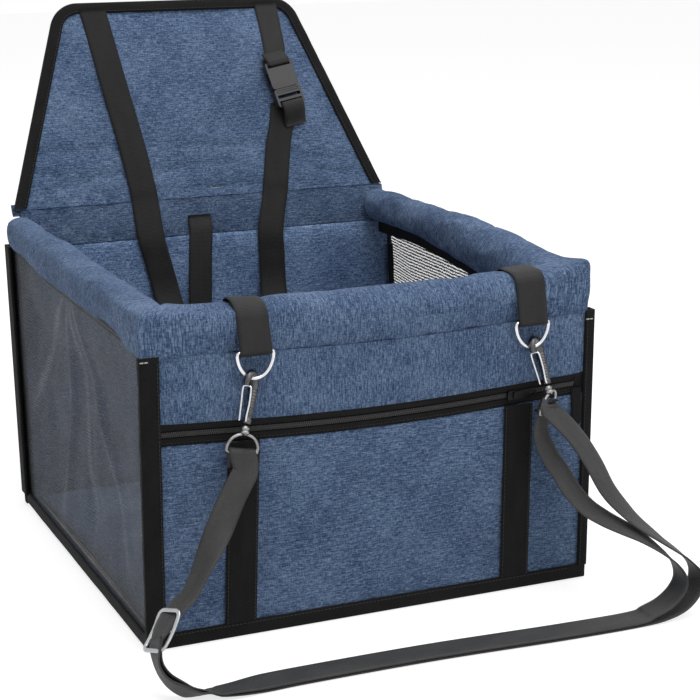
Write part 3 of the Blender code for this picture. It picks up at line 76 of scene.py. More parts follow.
# Sizes shared with the solids
GAP = 0.0003
HALF_X = 0.1962
FRONT_Y = -0.1986
LOW_Z = 0.0019
BACK_Y = 0.1900
BACK_TOP_Y = 0.2140
CREASE_LOW_Z = 0.2500
CREASE_Y = 0.2190
CREASE_Z = 0.2845
BACK_SLOPE = (BACK_TOP_Y - BACK_Y) / CREASE_LOW_Z
BACK_T = 0.0080
FLAP_LEAN = math.radians(23.5)
FLAP_SHIFT = 0.0020
FLAP_H = 0.2062
FLAP_HALF = 0.1945
FLAP_TAPER = 0.3415
FLAP_CORNER_R = 0.0300
FLAP_T = 0.0085
SEAM_T = 0.0050
CROWN = 0.0013
BIND_W = 0.0115
BIND_T = 0.0013
FOLD_RELIEF = 0.0036
RIM_HALF = 0.1800
RIM_R = 0.0222
RIM_Z = 0.2593
RIM_SAG = 0.0072
SAG_POWER = 1.4
SAG_HALF = 0.1905
ZIP_Z = 0.1790
ZIP_SAG = 0.0065
ZIP_W = 0.0185
ZIP_UP = ZIP_W / 2 - 0.0030
MESH_X = 0.1985
TAPE_T = 0.0024
TAPE_W = 0.0125
TAPE_LEG = 0.0105
WEB_T = 0.0015
WEB_W = 0.0270
BUCKLE_WEB_W = 0.0240
LEAD_W = 0.0220
LEAD_T = 0.0017
RING_Y = -0.2060
RINGS = {"left": (-0.1076, 0.2400), "right": (0.1394, 0.2392)}
FOLD = Vector((0, CREASE_Y, CREASE_Z))
FLAP_V = Vector((0, math.sin(FLAP_LEAN), math.cos(FLAP_LEAN)))
FLAP_W = Vector((0, -math.cos(FLAP_LEAN), math.sin(FLAP_LEAN)))


# Material helpers
def shader_of(name, roughness, metallic=0):
    made = bpy.data.materials.new(name)
    made.use_nodes = True
    tree = made.node_tree
    shader = tree.nodes["Principled BSDF"]
    shader.inputs["Roughness"].default_value = roughness
    shader.inputs["Metallic"].default_value = metallic
    return made, tree, shader


def node(tree, kind, **inputs):
    made = tree.nodes.new(kind)
    for key, value in inputs.items():
        made.inputs[key.replace("_", " ")].default_value = value
    return made


def stretched(tree, source, scale):
    mapping = tree.nodes.new("ShaderNodeMapping")
    mapping.inputs["Scale"].default_value = scale
    tree.links.new(source, mapping.inputs["Vector"])
    return mapping.outputs["Vector"]


def grain(tree, source, scale, detail=2.0, roughness=0.5):
    """Noise over coordinates stretched by scale, in cycles a metre."""
    made = node(tree, "ShaderNodeTexNoise", Scale=1.0, Detail=detail, Roughness=roughness)
    tree.links.new(stretched(tree, source, scale), made.inputs["Vector"])
    return made.outputs["Fac"]


def bands(tree, source, axis, pitch, distortion=0.0):
    """Straight ridges across the axis, pitch metres apart."""
    made = node(tree, "ShaderNodeTexWave", Scale=math.pi / 10 / pitch, Distortion=distortion)
    made.bands_direction = axis
    tree.links.new(source, made.inputs["Vector"])
    return made.outputs["Fac"]


def maths(tree, operation, a, b):
    made = tree.nodes.new("ShaderNodeMath")
    made.operation = operation
    for slot, value in enumerate((a, b)):
        if isinstance(value, (int, float)):
            made.inputs[slot].default_value = value
        else:
            tree.links.new(value, made.inputs[slot])
    return made.outputs[0]


def ramp(tree, factor, stops):
    made = tree.nodes.new("ShaderNodeValToRGB")
    elements = made.color_ramp.elements
    while len(elements) < len(stops):
        elements.new(0.5)
    for element, (place, colour) in zip(elements, stops):
        element.position = place
        element.color = (*colour, 1)
    tree.links.new(factor, made.inputs["Fac"])
    return made.outputs["Color"]


def bump(tree, shader, height, depth, strength=1.0):
    made = node(tree, "ShaderNodeBump", Strength=strength, Distance=depth)
    tree.links.new(height, made.inputs["Height"])
    tree.links.new(made.outputs["Normal"], shader.inputs["Normal"])
    return made


def multiply_colour(tree, colour, factor, low):
    """The colour, down to low of itself where the factor is 0."""
    mix = tree.nodes.new("ShaderNodeMix")
    mix.data_type = "RGBA"
    mix.blend_type = "MULTIPLY"
    mix.inputs["Factor"].default_value = 1
    tree.links.new(colour, mix.inputs[6])
    tree.links.new(ramp(tree, factor, ((0, (low,) * 3), (1, (1, 1, 1)))), mix.inputs[7])
    return mix.outputs[2]


def coordinates(tree, flipped=False):
    """UV in metres, with its axes swapped where the cloth is cut the other way."""
    uv = tree.nodes.new("ShaderNodeTexCoord").outputs["UV"]
    if not flipped:
        return uv
    turn = tree.nodes.new("ShaderNodeMapping")
    turn.inputs["Rotation"].default_value = (0, 0, math.pi / 2)
    tree.links.new(uv, turn.inputs["Vector"])
    return turn.outputs["Vector"]


THREAD_PITCH = 0.0007
NAVY = (0.020, 0.040, 0.092)
DENIM = (0.079, 0.128, 0.232)
MIST = (0.205, 0.285, 0.420)


def canvas(name, flipped=False, painted_light_scale=1.0):
    """Heathered canvas: short navy and pale flecks along the weft, crossed by finer warp threads; the last argument
    lightens or darkens every tone, as painted light or painted shade where it is not 1.
    """
    made, tree, shader = shader_of(name, 0.93)
    cloth = coordinates(tree, flipped)
    fine = grain(tree, cloth, (250, 1350, 1), 2.0, 0.6)
    value = maths(tree, "MULTIPLY", fine, 0.36)
    for scale, share in (((80, 640, 1), 0.20), ((1300, 230, 1), 0.20), ((700, 900, 1), 0.12), ((18, 18, 1), 0.12)):
        value = maths(tree, "ADD", value, maths(tree, "MULTIPLY", grain(tree, cloth, scale, 2.0, 0.5), share))
    tones = [tuple(c * painted_light_scale for c in tone) for tone in (NAVY, DENIM, MIST)]
    colour = ramp(tree, value, ((0.415, tones[0]), (0.50, tones[1]), (0.585, tones[2])))
    warp = bands(tree, cloth, "X", THREAD_PITCH, 0.6)
    weft = bands(tree, cloth, "Y", THREAD_PITCH, 0.6)
    weave = maths(tree, "MULTIPLY", warp, weft)
    tree.links.new(multiply_colour(tree, colour, weave, 0.84), shader.inputs["Base Color"])
    height = maths(tree, "ADD", maths(tree, "MULTIPLY", weave, 0.5), fine)
    bump(tree, shader, height, 0.00022, 0.9)
    shader.inputs["Specular IOR Level"].default_value = 0.20
    shader.inputs["Sheen Weight"].default_value = 0.03
    shader.inputs["Sheen Roughness"].default_value = 0.5
    return made


def woven(name, colour, pale, pitch, roughness, shine=0.15):
    """Webbing or binding: ridges across its length, with a finer twill along it."""
    made, tree, shader = shader_of(name, roughness)
    cloth = coordinates(tree)
    across = bands(tree, cloth, "Y", pitch, 0.3)
    along = bands(tree, cloth, "X", pitch, 0.3)
    weave = maths(tree, "MULTIPLY", across, along)
    wear = grain(tree, cloth, (60, 22, 1), 4.0, 0.6)
    fluff = grain(tree, cloth, (900, 500, 1), 2.0, 0.6)
    value = maths(tree, "ADD", maths(tree, "MULTIPLY", wear, 0.55), maths(tree, "MULTIPLY", fluff, 0.45))
    tone = ramp(tree, value, ((0.36, colour), (0.66, pale)))
    tree.links.new(multiply_colour(tree, tone, weave, 0.62), shader.inputs["Base Color"])
    height = maths(tree, "ADD", weave, maths(tree, "MULTIPLY", fluff, 0.3))
    bump(tree, shader, height, 0.00030, 0.8)
    shader.inputs["Specular IOR Level"].default_value = shine
    shader.inputs["Sheen Weight"].default_value = 0.02
    shader.inputs["Sheen Roughness"].default_value = 0.4
    return made


CREASE_HIGHLIGHT_LAYER = "crease"
HOLE_U = 0.0024
HOLE_V = 0.0029


def netting(name):
    """Knitted mesh cloth: dark yarn with an even field of small holes, with painted shade and light over broad folds
    and painted highlights along the mesh's creases.
    """
    made, tree, shader = shader_of(name, 0.75)
    cloth = coordinates(tree)
    cells = node(tree, "ShaderNodeTexVoronoi", Scale=1.0, Randomness=0.22)
    cells.voronoi_dimensions = "2D"
    tree.links.new(stretched(tree, cloth, (1 / HOLE_U, 1 / HOLE_V, 1)), cells.inputs["Vector"])
    distance = cells.outputs["Distance"]
    yarn = grain(tree, cloth, (420, 380, 1), 2.0, 0.5)
    # Painted shade and light: broad noise darkens and lightens the yarn as over folds.
    fold_shading = grain(tree, cloth, (26, 14, 1), 2.0, 0.5)
    value = maths(tree, "ADD", maths(tree, "MULTIPLY", yarn, 0.5), maths(tree, "MULTIPLY", fold_shading, 0.5))
    # Painted highlight: the yarn is lighter along the creases, by the point layer written in mesh_side.
    crease = tree.nodes.new("ShaderNodeAttribute")
    crease.attribute_name = CREASE_HIGHLIGHT_LAYER
    value = maths(tree, "ADD", value, maths(tree, "MULTIPLY", crease.outputs["Fac"], 0.36))
    tree.links.new(ramp(tree, value, ((0.38, (0.021, 0.023, 0.028)), (0.64, (0.068, 0.072, 0.082)), (0.92, (0.150, 0.156, 0.168)))),
                   shader.inputs["Base Color"])
    open_share = node(tree, "ShaderNodeMapRange")
    for slot, number in (("From Min", 0.255), ("From Max", 0.310)):
        open_share.inputs[slot].default_value = number
    tree.links.new(distance, open_share.inputs["Value"])
    tree.links.new(open_share.outputs["Result"], shader.inputs["Alpha"])
    bump(tree, shader, distance, 0.0004, 0.6)
    return made


def metal(name, colour, roughness, wear=0.10):
    made, tree, shader = shader_of(name, roughness, 1)
    place = tree.nodes.new("ShaderNodeTexCoord").outputs["Object"]
    rub = grain(tree, place, (260, 260, 260), 4.0, 0.6)
    low, high = (tuple(c * k for c in colour) for k in (1 - wear, 1 + wear / 2))
    tree.links.new(ramp(tree, rub, ((0.35, low), (0.65, high))), shader.inputs["Base Color"])
    gloss = node(tree, "ShaderNodeMapRange")
    for slot, number in (("To Min", roughness * 0.75), ("To Max", roughness * 1.35)):
        gloss.inputs[slot].default_value = number
    tree.links.new(rub, gloss.inputs["Value"])
    tree.links.new(gloss.outputs["Result"], shader.inputs["Roughness"])
    bump(tree, shader, rub, 0.00005, 0.5)
    return made


def moulded(name, colour, roughness):
    made, tree, shader = shader_of(name, roughness)
    place = tree.nodes.new("ShaderNodeTexCoord").outputs["Object"]
    spark = grain(tree, place, (2600, 2600, 2600), 2.0, 0.5)
    cloud = grain(tree, place, (120, 120, 120), 3.0, 0.5)
    pale = tuple(c * 1.5 for c in colour)
    tree.links.new(ramp(tree, cloud, ((0.35, colour), (0.7, pale))), shader.inputs["Base Color"])
    bump(tree, shader, spark, 0.00006, 0.6)
    return made


def painted(name, colour):
    """A pale thread, with the twist of its strands."""
    made, tree, shader = shader_of(name, 0.7)
    place = tree.nodes.new("ShaderNodeTexCoord").outputs["Object"]
    twist = grain(tree, place, (3000, 3000, 3000), 1.0, 0.5)
    dark = tuple(c * 0.6 for c in colour)
    tree.links.new(ramp(tree, twist, ((0.4, dark), (0.6, colour))), shader.inputs["Base Color"])
    bump(tree, shader, twist, 0.0001, 0.6)
    return made


CANVAS = canvas("canvas_weft_level")
CANVAS_UPRIGHT = canvas("canvas_weft_upright", flipped=True)
# Inside cloth: the canvas painted lighter, as painted light standing in for the light the inside of the box lacks.
LINING_PAINTED_LIGHTER = canvas("canvas_inside_painted_lighter", painted_light_scale=1.42)
# Band cloth: the canvas painted darker, as painted shade at the foot of the flap.
BAND_PAINTED_SHADE = canvas("canvas_band_painted_shade", painted_light_scale=0.76)
TAPE = woven("binding_tape", (0.0050, 0.0050, 0.0055), (0.0160, 0.0158, 0.0155), 0.0011, 0.82)
WEBBING = woven("black_webbing", (0.0068, 0.0068, 0.0074), (0.0210, 0.0208, 0.0205), 0.0013, 0.62, 0.30)
# The long strap's webbing: the black webbing painted darker, as painted shade.
STRAP_WEB_PAINTED_SHADE = woven("strap_webbing_painted_shade", (0.0055, 0.0055, 0.0060), (0.0170, 0.0168, 0.0165), 0.0013, 0.66, 0.22)
# The lead's own paler webbing, painted lighter still as painted sheen.
LEAD_WEB_PAINTED_SHEEN = woven("lead_webbing_painted_sheen", (0.0200, 0.0203, 0.0215), (0.0580, 0.0578, 0.0580), 0.0013, 0.58, 0.40)
NETTING = netting("mesh_cloth")
CHROME = metal("bright_plating", (0.72, 0.72, 0.74), 0.14)
SATIN = metal("satin_plating", (0.42, 0.43, 0.44), 0.34)
BLACKENED = metal("blackened_slider", (0.020, 0.020, 0.021), 0.42, 0.3)
GUNMETAL = metal("dark_plating", (0.105, 0.105, 0.108), 0.30, 0.3)
NICKEL = metal("worn_nickel", (0.30, 0.30, 0.295), 0.30, 0.3)
PLASTIC = moulded("black_moulding", (0.016, 0.016, 0.017), 0.38)
BOARD = moulded("hidden_board", (0.30, 0.27, 0.24), 0.8)
PIPE = moulded("hidden_tube", (0.52, 0.52, 0.50), 0.4)
BLACK_THREAD = painted("black_thread", (0.020, 0.020, 0.022))
BLUE_THREAD = painted("blue_thread", (0.050, 0.085, 0.170))
PALE_THREAD = painted("pale_thread", (0.50, 0.50, 0.47))


# Mesh helpers
class Shape:
    """Points, faces and UVs in metres, gathered until one mesh is built from them."""

    def __init__(self):
        self.points = []
        self.faces = []
        self.uvs = []

    def face(self, corners, uvs):
        self.faces.append(tuple(corners))
        self.uvs.extend(uvs)

    def grid(self, rows, uv_rows, wrap=False, flip=False):
        """Rows of points joined into quads; wrap joins the last column to the first."""
        start = len(self.points)
        cols = len(rows[0])
        for row in rows:
            self.points.extend(tuple(p) for p in row)
        spans = cols if wrap else cols - 1
        for i in range(len(rows) - 1):
            for j in range(spans):
                n = (j + 1) % cols
                quad = [start + i * cols + j, start + i * cols + n,
                        start + (i + 1) * cols + n, start + (i + 1) * cols + j]
                uv = [uv_rows[i][j], uv_rows[i][j + 1], uv_rows[i + 1][j + 1], uv_rows[i + 1][j]]
                if flip:
                    quad.reverse()
                    uv.reverse()
                self.face(quad, uv)
        return start

    def build(self, name, material, smooth=True):
        mesh = bpy.data.meshes.new(name)
        mesh.from_pydata(self.points, [], self.faces)
        layer = mesh.uv_layers.new(name="metres")
        layer.data.foreach_set("uv", np.array(self.uvs, np.float32).ravel())
        mesh.polygons.foreach_set("use_smooth", [smooth] * len(mesh.polygons))
        mesh.materials.append(material)
        made = bpy.data.objects.new(name, mesh)
        bpy.context.scene.collection.objects.link(made)
        return made


def signed_volume(shape):
    points = np.array(shape.points)
    total = 0.0
    for face in shape.faces:
        a = points[face[0]]
        for k in range(1, len(face) - 1):
            total += np.dot(a, np.cross(points[face[k]], points[face[k + 1]]))
    return total


def outward(shape):
    """Turns every face round if the closed shape faces in."""
    if signed_volume(shape) < 0:
        uvs = []
        place = 0
        for k, face in enumerate(shape.faces):
            uvs.extend(reversed(shape.uvs[place : place + len(face)]))
            shape.faces[k] = tuple(reversed(face))
            place += len(face)
        shape.uvs = uvs
    return shape


def shell(name, front, back, uv, material):
    """A closed sheet between two grids of points of one size, joined by a band of faces round its border."""
    shape = Shape()
    rows = len(front)
    cols = len(front[0])
    a = shape.grid(front, uv)
    b = shape.grid(back, uv, flip=True)
    edge = [(0, j) for j in range(cols)] + [(i, cols - 1) for i in range(1, rows)]
    edge += [(rows - 1, j) for j in range(cols - 2, -1, -1)] + [(i, 0) for i in range(rows - 2, 0, -1)]
    for k, (i, j) in enumerate(edge):
        n, m = edge[(k + 1) % len(edge)]
        p = i * cols + j
        q = n * cols + m
        shape.face((a + p, b + p, b + q, a + q), (uv[i][j], uv[i][j], uv[n][m], uv[n][m]))
    return outward(shape).build(name, material)


def spread(start, end, count):
    return [start + (end - start) * k / (count - 1) for k in range(count)]


def smooth_step(value):
    t = min(max(value, 0), 1)
    return t * t * (3 - 2 * t)


def curve(points, step, least=2):
    """A Catmull-Rom curve through the points, with spans no longer than step."""
    pts = [Vector(p) for p in points]
    padded = [pts[0] * 2 - pts[1]] + pts + [pts[-1] * 2 - pts[-2]]
    out = []
    for i in range(1, len(padded) - 2):
        a, b, c, d = padded[i - 1 : i + 3]
        spans = max(least, math.ceil((c - b).length / step))
        for k in range(spans):
            t = k / spans
            out.append(
                (b * 2 + (c - a) * t + (a * 2 - b * 5 + c * 4 - d) * t * t
                 + (b * 3 - a - c * 3 + d) * t * t * t) / 2
            )
    out.append(pts[-1])
    return out


def lengths_of(path):
    out = [0.0]
    for a, b in zip(path, path[1:]):
        out.append(out[-1] + (b - a).length)
    return out


def even(path, count):
    """The path again, at even steps of its length."""
    lengths = lengths_of(path)
    out = []
    place = 0
    for want in spread(0, lengths[-1], count):
        while place < len(path) - 2 and lengths[place + 1] < want:
            place += 1
        span = lengths[place + 1] - lengths[place]
        share = (want - lengths[place]) / span if span else 0
        out.append(path[place].lerp(path[place + 1], min(max(share, 0), 1)))
    return out


def smooth_path(points, count):
    """The curve through the points that part of the solids use, at even steps."""
    return even(curve(points, 1.0, 12), count)


def tangents(path, closed=False):
    count = len(path)
    out = []
    for k in range(count):
        a = path[k - 1] if closed or k > 0 else path[0]
        b = path[(k + 1) % count] if closed or k < count - 1 else path[-1]
        out.append((b - a).normalized())
    return out


def turned_sides(stops, path):
    """Directions between the given ones along a path: stops are (share of the length, direction)."""
    lengths = lengths_of(path)
    out = []
    for length in lengths:
        share = length / lengths[-1]
        for (s0, a), (s1, b) in zip(stops, stops[1:]):
            if share <= s1 or s1 == stops[-1][0]:
                t = smooth_step((share - s0) / (s1 - s0))
                out.append(Vector(a).lerp(Vector(b), t).normalized())
                break
    return out


RIBBON_COLS = 9


def ribbon(name, path, sides, width, thickness, material, level=False, cup=0.0):
    """Woven webbing: two faces with soft selvedges; cup would cup it across, and no call here sets it above 0."""
    shape = Shape()
    lengths = lengths_of(path)
    profile = []
    for k in range(RIBBON_COLS):
        share = 2 * k / (RIBBON_COLS - 1) - 1
        edge = smooth_step((1 - abs(share)) / 0.16)
        profile.append((share * (0.5 - (1 - edge) * 0.004), (0.26 + 0.24 * edge)))
    ring_uv = [(s + 0.5) * width for s, _ in profile]
    rows = []
    uvs = []
    for p, t, s, length in zip(path, tangents(path), sides, lengths):
        across = s.normalized() if level else (s - t * s.dot(t)).normalized()
        out = t.cross(across).normalized()
        row = []
        for share, half in profile:
            dip = cup * (1 - (2 * share) ** 2)
            row.append(p + across * (share * width) + out * (half * thickness + dip))
        for share, half in reversed(profile):
            dip = cup * (1 - (2 * share) ** 2)
            row.append(p + across * (share * width) - out * (half * thickness - dip))
        rows.append(row)
        back = [2 * width + thickness - u for u in reversed(ring_uv)]
        uvs.append([(u, length) for u in ring_uv + back + [2 * width + 2 * thickness]])
    start = shape.grid(rows, uvs, wrap=True)
    count = len(rows[0])
    half = count // 2
    for first, flip in ((start, False), (start + (len(rows) - 1) * count, True)):
        for k in range(half - 1):
            quad = [first + k, first + k + 1, first + count - 2 - k, first + count - 1 - k]
            uv = [(ring_uv[k], 0), (ring_uv[k + 1], 0), (ring_uv[k + 1], thickness), (ring_uv[k], thickness)]
            shape.face(quad[::-1] if flip else quad, uv[::-1] if flip else uv)
    return outward(shape).build(name, material)


def tube(name, path, radius, material, closed=False, sides=16, normal=(0, 1, 0), squeeze=1.0):
    """A round wire; radius is a number or one for each point of the path."""
    shape = Shape()
    up = Vector(normal).normalized()
    radii = radius if isinstance(radius, list) else [radius] * len(path)
    rows = []
    for p, t, r in zip(path, tangents(path, closed), radii):
        side = up.cross(t).normalized()
        top = t.cross(side)
        rows.append([
            p + side * (r * math.cos(2 * math.pi * k / sides)) + top * (r * squeeze * math.sin(2 * math.pi * k / sides))
            for k in range(sides)
        ])
    lengths = lengths_of(path) + [0]
    around = [2 * math.pi * max(radii) * k / sides for k in range(sides + 1)]
    uvs = [[(a, length) for a in around] for length in lengths[: len(rows)]]
    if closed:
        rows.append(rows[0])
        uvs.append([(a, lengths[len(rows) - 2] + 0.001) for a in around])
        start = shape.grid(rows[:-1], uvs[:-1], wrap=True)
        last = start + (len(rows) - 2) * sides
        for j in range(sides):
            n = (j + 1) % sides
            shape.face((last + j, last + n, start + n, start + j),
                       (uvs[-2][j], uvs[-2][j + 1], uvs[-1][j + 1], uvs[-1][j]))
    else:
        start = shape.grid(rows, uvs, wrap=True)
        last = start + (len(rows) - 1) * sides
        shape.face([start + k for k in reversed(range(sides))], [(0, 0)] * sides)
        shape.face([last + k for k in range(sides)], [(0, 0)] * sides)
    return outward(shape).build(name, material)


def bevelled(obj, width, segments=2):
    step = obj.modifiers.new("edges", "BEVEL")
    step.width = width
    step.segments = segments
    step.limit_method = "ANGLE"
    step.angle_limit = math.radians(30)
    step.harden_normals = False


def rough(p, size, seed=0.0):
    """Smooth noise near -1 to 1, with lumps about this size in metres."""
    return noise.noise(Vector(p) / size + Vector((seed, seed * 1.7, -seed)))


def dress(node_name, material, edge=0.0, smooth=False):
    """A carried-over node with a finished material, and small rounded edges where wanted."""
    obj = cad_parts[node_name]
    obj.data.materials.clear()
    obj.data.materials.append(material)
    if edge:
        bevelled(obj, edge)
    if smooth:
        obj.data.polygons.foreach_set("use_smooth", [True] * len(obj.data.polygons))
    return obj


def place(obj, body, slot, *nodes):
    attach(obj, body)
    if nodes:
        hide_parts(*nodes)
    return obj


# Cloth simulation, stepped once for all the padded pieces
PADDED = []
SIM_FRAMES = 16


def soften(obj, pins, pressure, grow, cap, bend=0.6):
    """Readies a closed piece for simulation: pins are the indices that stay as they are sewn."""
    group = obj.vertex_groups.new(name="sewn")
    group.add(pins, 1.0, "REPLACE")
    cloth = obj.modifiers.new("cloth", "CLOTH")
    cloth.settings.quality = 5
    cloth.settings.mass = 0.15
    cloth.settings.tension_stiffness = 12
    cloth.settings.compression_stiffness = 12
    cloth.settings.shear_stiffness = 6
    cloth.settings.bending_stiffness = bend
    cloth.settings.effector_weights.gravity = 0
    cloth.settings.use_pressure = True
    cloth.settings.uniform_pressure_force = pressure
    cloth.settings.shrink_min = -grow
    cloth.settings.vertex_group_mass = "sewn"
    cloth.collision_settings.use_collision = False
    cloth.point_cache.frame_start = 1
    cloth.point_cache.frame_end = SIM_FRAMES + 1
    rest = np.array([v.co for v in obj.data.vertices])
    PADDED.append((obj, rest, cap))


def run_cloth():
    scene = bpy.context.scene
    if not PADDED:
        return
    for f in range(1, SIM_FRAMES + 1):
        scene.frame_set(f)
    graph = bpy.context.evaluated_depsgraph_get()
    for obj, rest, cap in PADDED:
        moved = obj.evaluated_get(graph).data
        now = np.array([v.co for v in moved.vertices])
        shift = now - rest
        size = np.linalg.norm(shift, axis=1, keepdims=True)
        shift *= np.tanh(size / cap) * cap / np.maximum(size, 1e-9)
        shift[~np.isfinite(shift)] = 0
        obj.modifiers.clear()
        obj.vertex_groups.clear()
        obj.data.vertices.foreach_set("co", (rest + shift).astype(np.float32).ravel())
        obj.data.update()
    scene.frame_set(1)


def border_of(rows, cols, inset=1):
    """The indices of a shell's border on both of its faces, inset rows deep."""
    out = []
    for face in (0, rows * cols):
        for i in range(rows):
            for j in range(cols):
                if min(i, rows - 1 - i, j, cols - 1 - j) < inset:
                    out.append(face + i * cols + j)
    return out


# The lead, first of all: its route is the solids' own
LEAD_TILT = math.radians(6)
LEAD_FLOOR_Z = 0.0002 + LEAD_T / 2 + math.sin(LEAD_TILT) * LEAD_W / 2
LEAD_STEP = LEAD_T + 2 * GAP
TURN_SLACK = 0.15
TAIL = 0.0120
BAR_SHIFT = 0.0002
EYE_WIRE_R = 0.0014
LEFT_BASE = (-0.1190, -0.2112, 0.1790)
LEFT_TIP = (-0.1088, -0.2036, 0.2285)
LEFT_BAR = (-0.1238, -0.2150, 0.1620)
RIGHT_BASE = (0.1535, -0.2110, 0.1805)
RIGHT_TIP = (0.1405, -0.2036, 0.2275)
RIGHT_BAR = (0.1505, -0.2155, 0.1655)
LEFT_DOWN = (
    (-0.1218, -0.2190, 0.1490), (-0.1285, -0.2225, 0.1392), (-0.1380, -0.2270, 0.1264),
    (-0.1507, -0.2350, 0.1082), (-0.1654, -0.2450, 0.0892), (-0.1818, -0.2560, 0.0695),
    (-0.1961, -0.2620, 0.0603), (-0.2060, -0.2665, 0.0527), (-0.2135, -0.2720, 0.0430),
    (-0.2155, -0.2780, 0.0335), (-0.2157, -0.2830, 0.0250), (-0.2118, -0.2890, 0.0170),
    (-0.2038, -0.2940, 0.0113), (-0.1908, -0.2980, 0.0070),
)
FLOOR_RUN = ((-0.1650, -0.2985), (-0.1085, -0.2965), (0.0020, -0.2980), (0.1150, -0.3050), (0.1850, -0.3070))
RIGHT_UP = (
    (0.2140, -0.3070, 0.0042), (0.2330, -0.3065, 0.0105), (0.2455, -0.3040, 0.0215),
    (0.2490, -0.2995, 0.0338), (0.2420, -0.2940, 0.0455), (0.2250, -0.2840, 0.0595),
    (0.2106, -0.2720, 0.0719), (0.2010, -0.2630, 0.0828), (0.1911, -0.2510, 0.0981),
    (0.1835, -0.2390, 0.1190), (0.1745, -0.2300, 0.1370), (0.1625, -0.2235, 0.1530),
)
RETURN_DOWN = (
    (0.1447, -0.2165, 0.1445), (0.1500, -0.2220, 0.1260), (0.1575, -0.2300, 0.1115),
    (0.1618, -0.2380, 0.0999), (0.1707, -0.2500, 0.0864), (0.1813, -0.2620, 0.0782),
    (0.1930, -0.2720, 0.0718), (0.2052, -0.2810, 0.0651), (0.2196, -0.2900, 0.0540),
    (0.2300, -0.2965, 0.0430), (0.2335, -0.3010, 0.0315), (0.2290, -0.3035, 0.0215),
    (0.2160, -0.3055, 0.0125), (0.2000, -0.3065, 0.0075),
)
BARREL_LOW = -0.0046
BARREL_HIGH = 0.0033
EYE_TOP_SHARE = 0.8
GATE_TURN = math.radians(50)
SPINE_WAY = (math.sin(GATE_TURN), math.cos(GATE_TURN), 0)
LEAD_FINE = 0.0035


class Axes:
    """Directions of a snap: up its length, towards its spine, and across both."""

    def __init__(self, base, tip, spine):
        self.base = Vector(base)
        self.up = (Vector(tip) - self.base).normalized()
        rough_way = Vector(spine)
        self.spine = (rough_way - self.up * rough_way.dot(self.up)).normalized()
        self.across = self.up.cross(self.spine)

    def at(self, s, t, n=0.0):
        return self.base + self.spine * s + self.up * t + self.across * n


LEFT_AXES = Axes(LEFT_BASE, LEFT_TIP, SPINE_WAY)
RIGHT_AXES = Axes(RIGHT_BASE, RIGHT_TIP, SPINE_WAY)


def on_bar(bar, degrees, shift=0.0):
    turn = EYE_WIRE_R + LEAD_T / 2 + GAP
    angle = math.radians(degrees)
    return Vector(bar) + Vector((shift, -turn * math.cos(angle), turn * math.sin(angle)))


BAR_WAYS = {"left": (1, 0, -0.22), "right": (0.86, 0.51, 0.33)}


def bar_way(name):
    """The direction of an eye's bar."""
    return Vector(BAR_WAYS[name]).normalized()


ADJUSTER_HALF_ACROSS = 0.0130
ADJUSTER_HALF_ALONG = 0.0168
ADJUSTER_RISE = 0.0016
ADJUSTER_WIRE_R = 0.0018
ADJUSTER_FLAT = 0.60
ADJUSTER_BAR_R = 0.0008
ADJUSTER_CORNER = 0.0050


def adjuster(path, sides):
    """A three-bar slide: its ends arch over the strap and its middle bar lies between the two lengths."""
    near = (Vector(LEFT_DOWN[7]) + Vector(LEFT_DOWN[8])) / 2
    k = min(range(len(path)), key=lambda n: (path[n] - near).length)
    along = tangents(path)[k]
    across = (sides[k] - along * sides[k].dot(along)).normalized()
    inward = along.cross(Vector((0, 1, 0))).normalized()
    out = along.cross(across).normalized()
    if out.dot(inward) > 0:
        out.negate()
    middle = path[k] - out * (LEAD_STEP * (1 + TURN_SLACK) / 2)
    a = ADJUSTER_HALF_ACROSS
    b = ADJUSTER_HALF_ALONG
    flat = []
    for turn, (cu, cv) in enumerate(((1, 1), (-1, 1), (-1, -1), (1, -1))):
        for degrees in (0, 22, 45, 68, 90):
            angle = math.radians(degrees + 90 * turn)
            flat.append((cu * (a - ADJUSTER_CORNER) + ADJUSTER_CORNER * math.cos(angle),
                         cv * (b - ADJUSTER_CORNER) + ADJUSTER_CORNER * math.sin(angle)))
        nu, nv = ((-1, 1), (-1, -1), (1, -1), (1, 1))[turn]
        last = flat[-1]
        target = (nu * (a - ADJUSTER_CORNER) + ADJUSTER_CORNER * math.cos(math.radians(90 * turn + 90)),
                  nv * (b - ADJUSTER_CORNER) + ADJUSTER_CORNER * math.sin(math.radians(90 * turn + 90)))
        flat += [(last[0] + (target[0] - last[0]) * t, last[1] + (target[1] - last[1]) * t) for t in (0.25, 0.5, 0.75)]
    line = [middle + across * u + along * v + out * (ADJUSTER_RISE * (v / b) ** 2) for u, v in flat]
    made = tube("lead_adjuster_frame", line, ADJUSTER_WIRE_R, SATIN, closed=True, sides=14, normal=out,
                squeeze=ADJUSTER_FLAT)
    place(made, "seat", "bright_steel", "lead_slider")
    ends = [middle + across * s for s in spread(-a + ADJUSTER_WIRE_R / 2, a - ADJUSTER_WIRE_R / 2, 9)]
    made = tube("lead_adjuster_bar", ends, ADJUSTER_BAR_R, SATIN, sides=12, normal=out)
    place(made, "seat", "bright_steel")


TURNED = (-0.10, -0.85, 0.52)
MOST_TURNED = (0, -0.74, 0.67)
LESS_TURNED = (0, -0.88, 0.47)
LYING = (0, -0.985, 0.10)


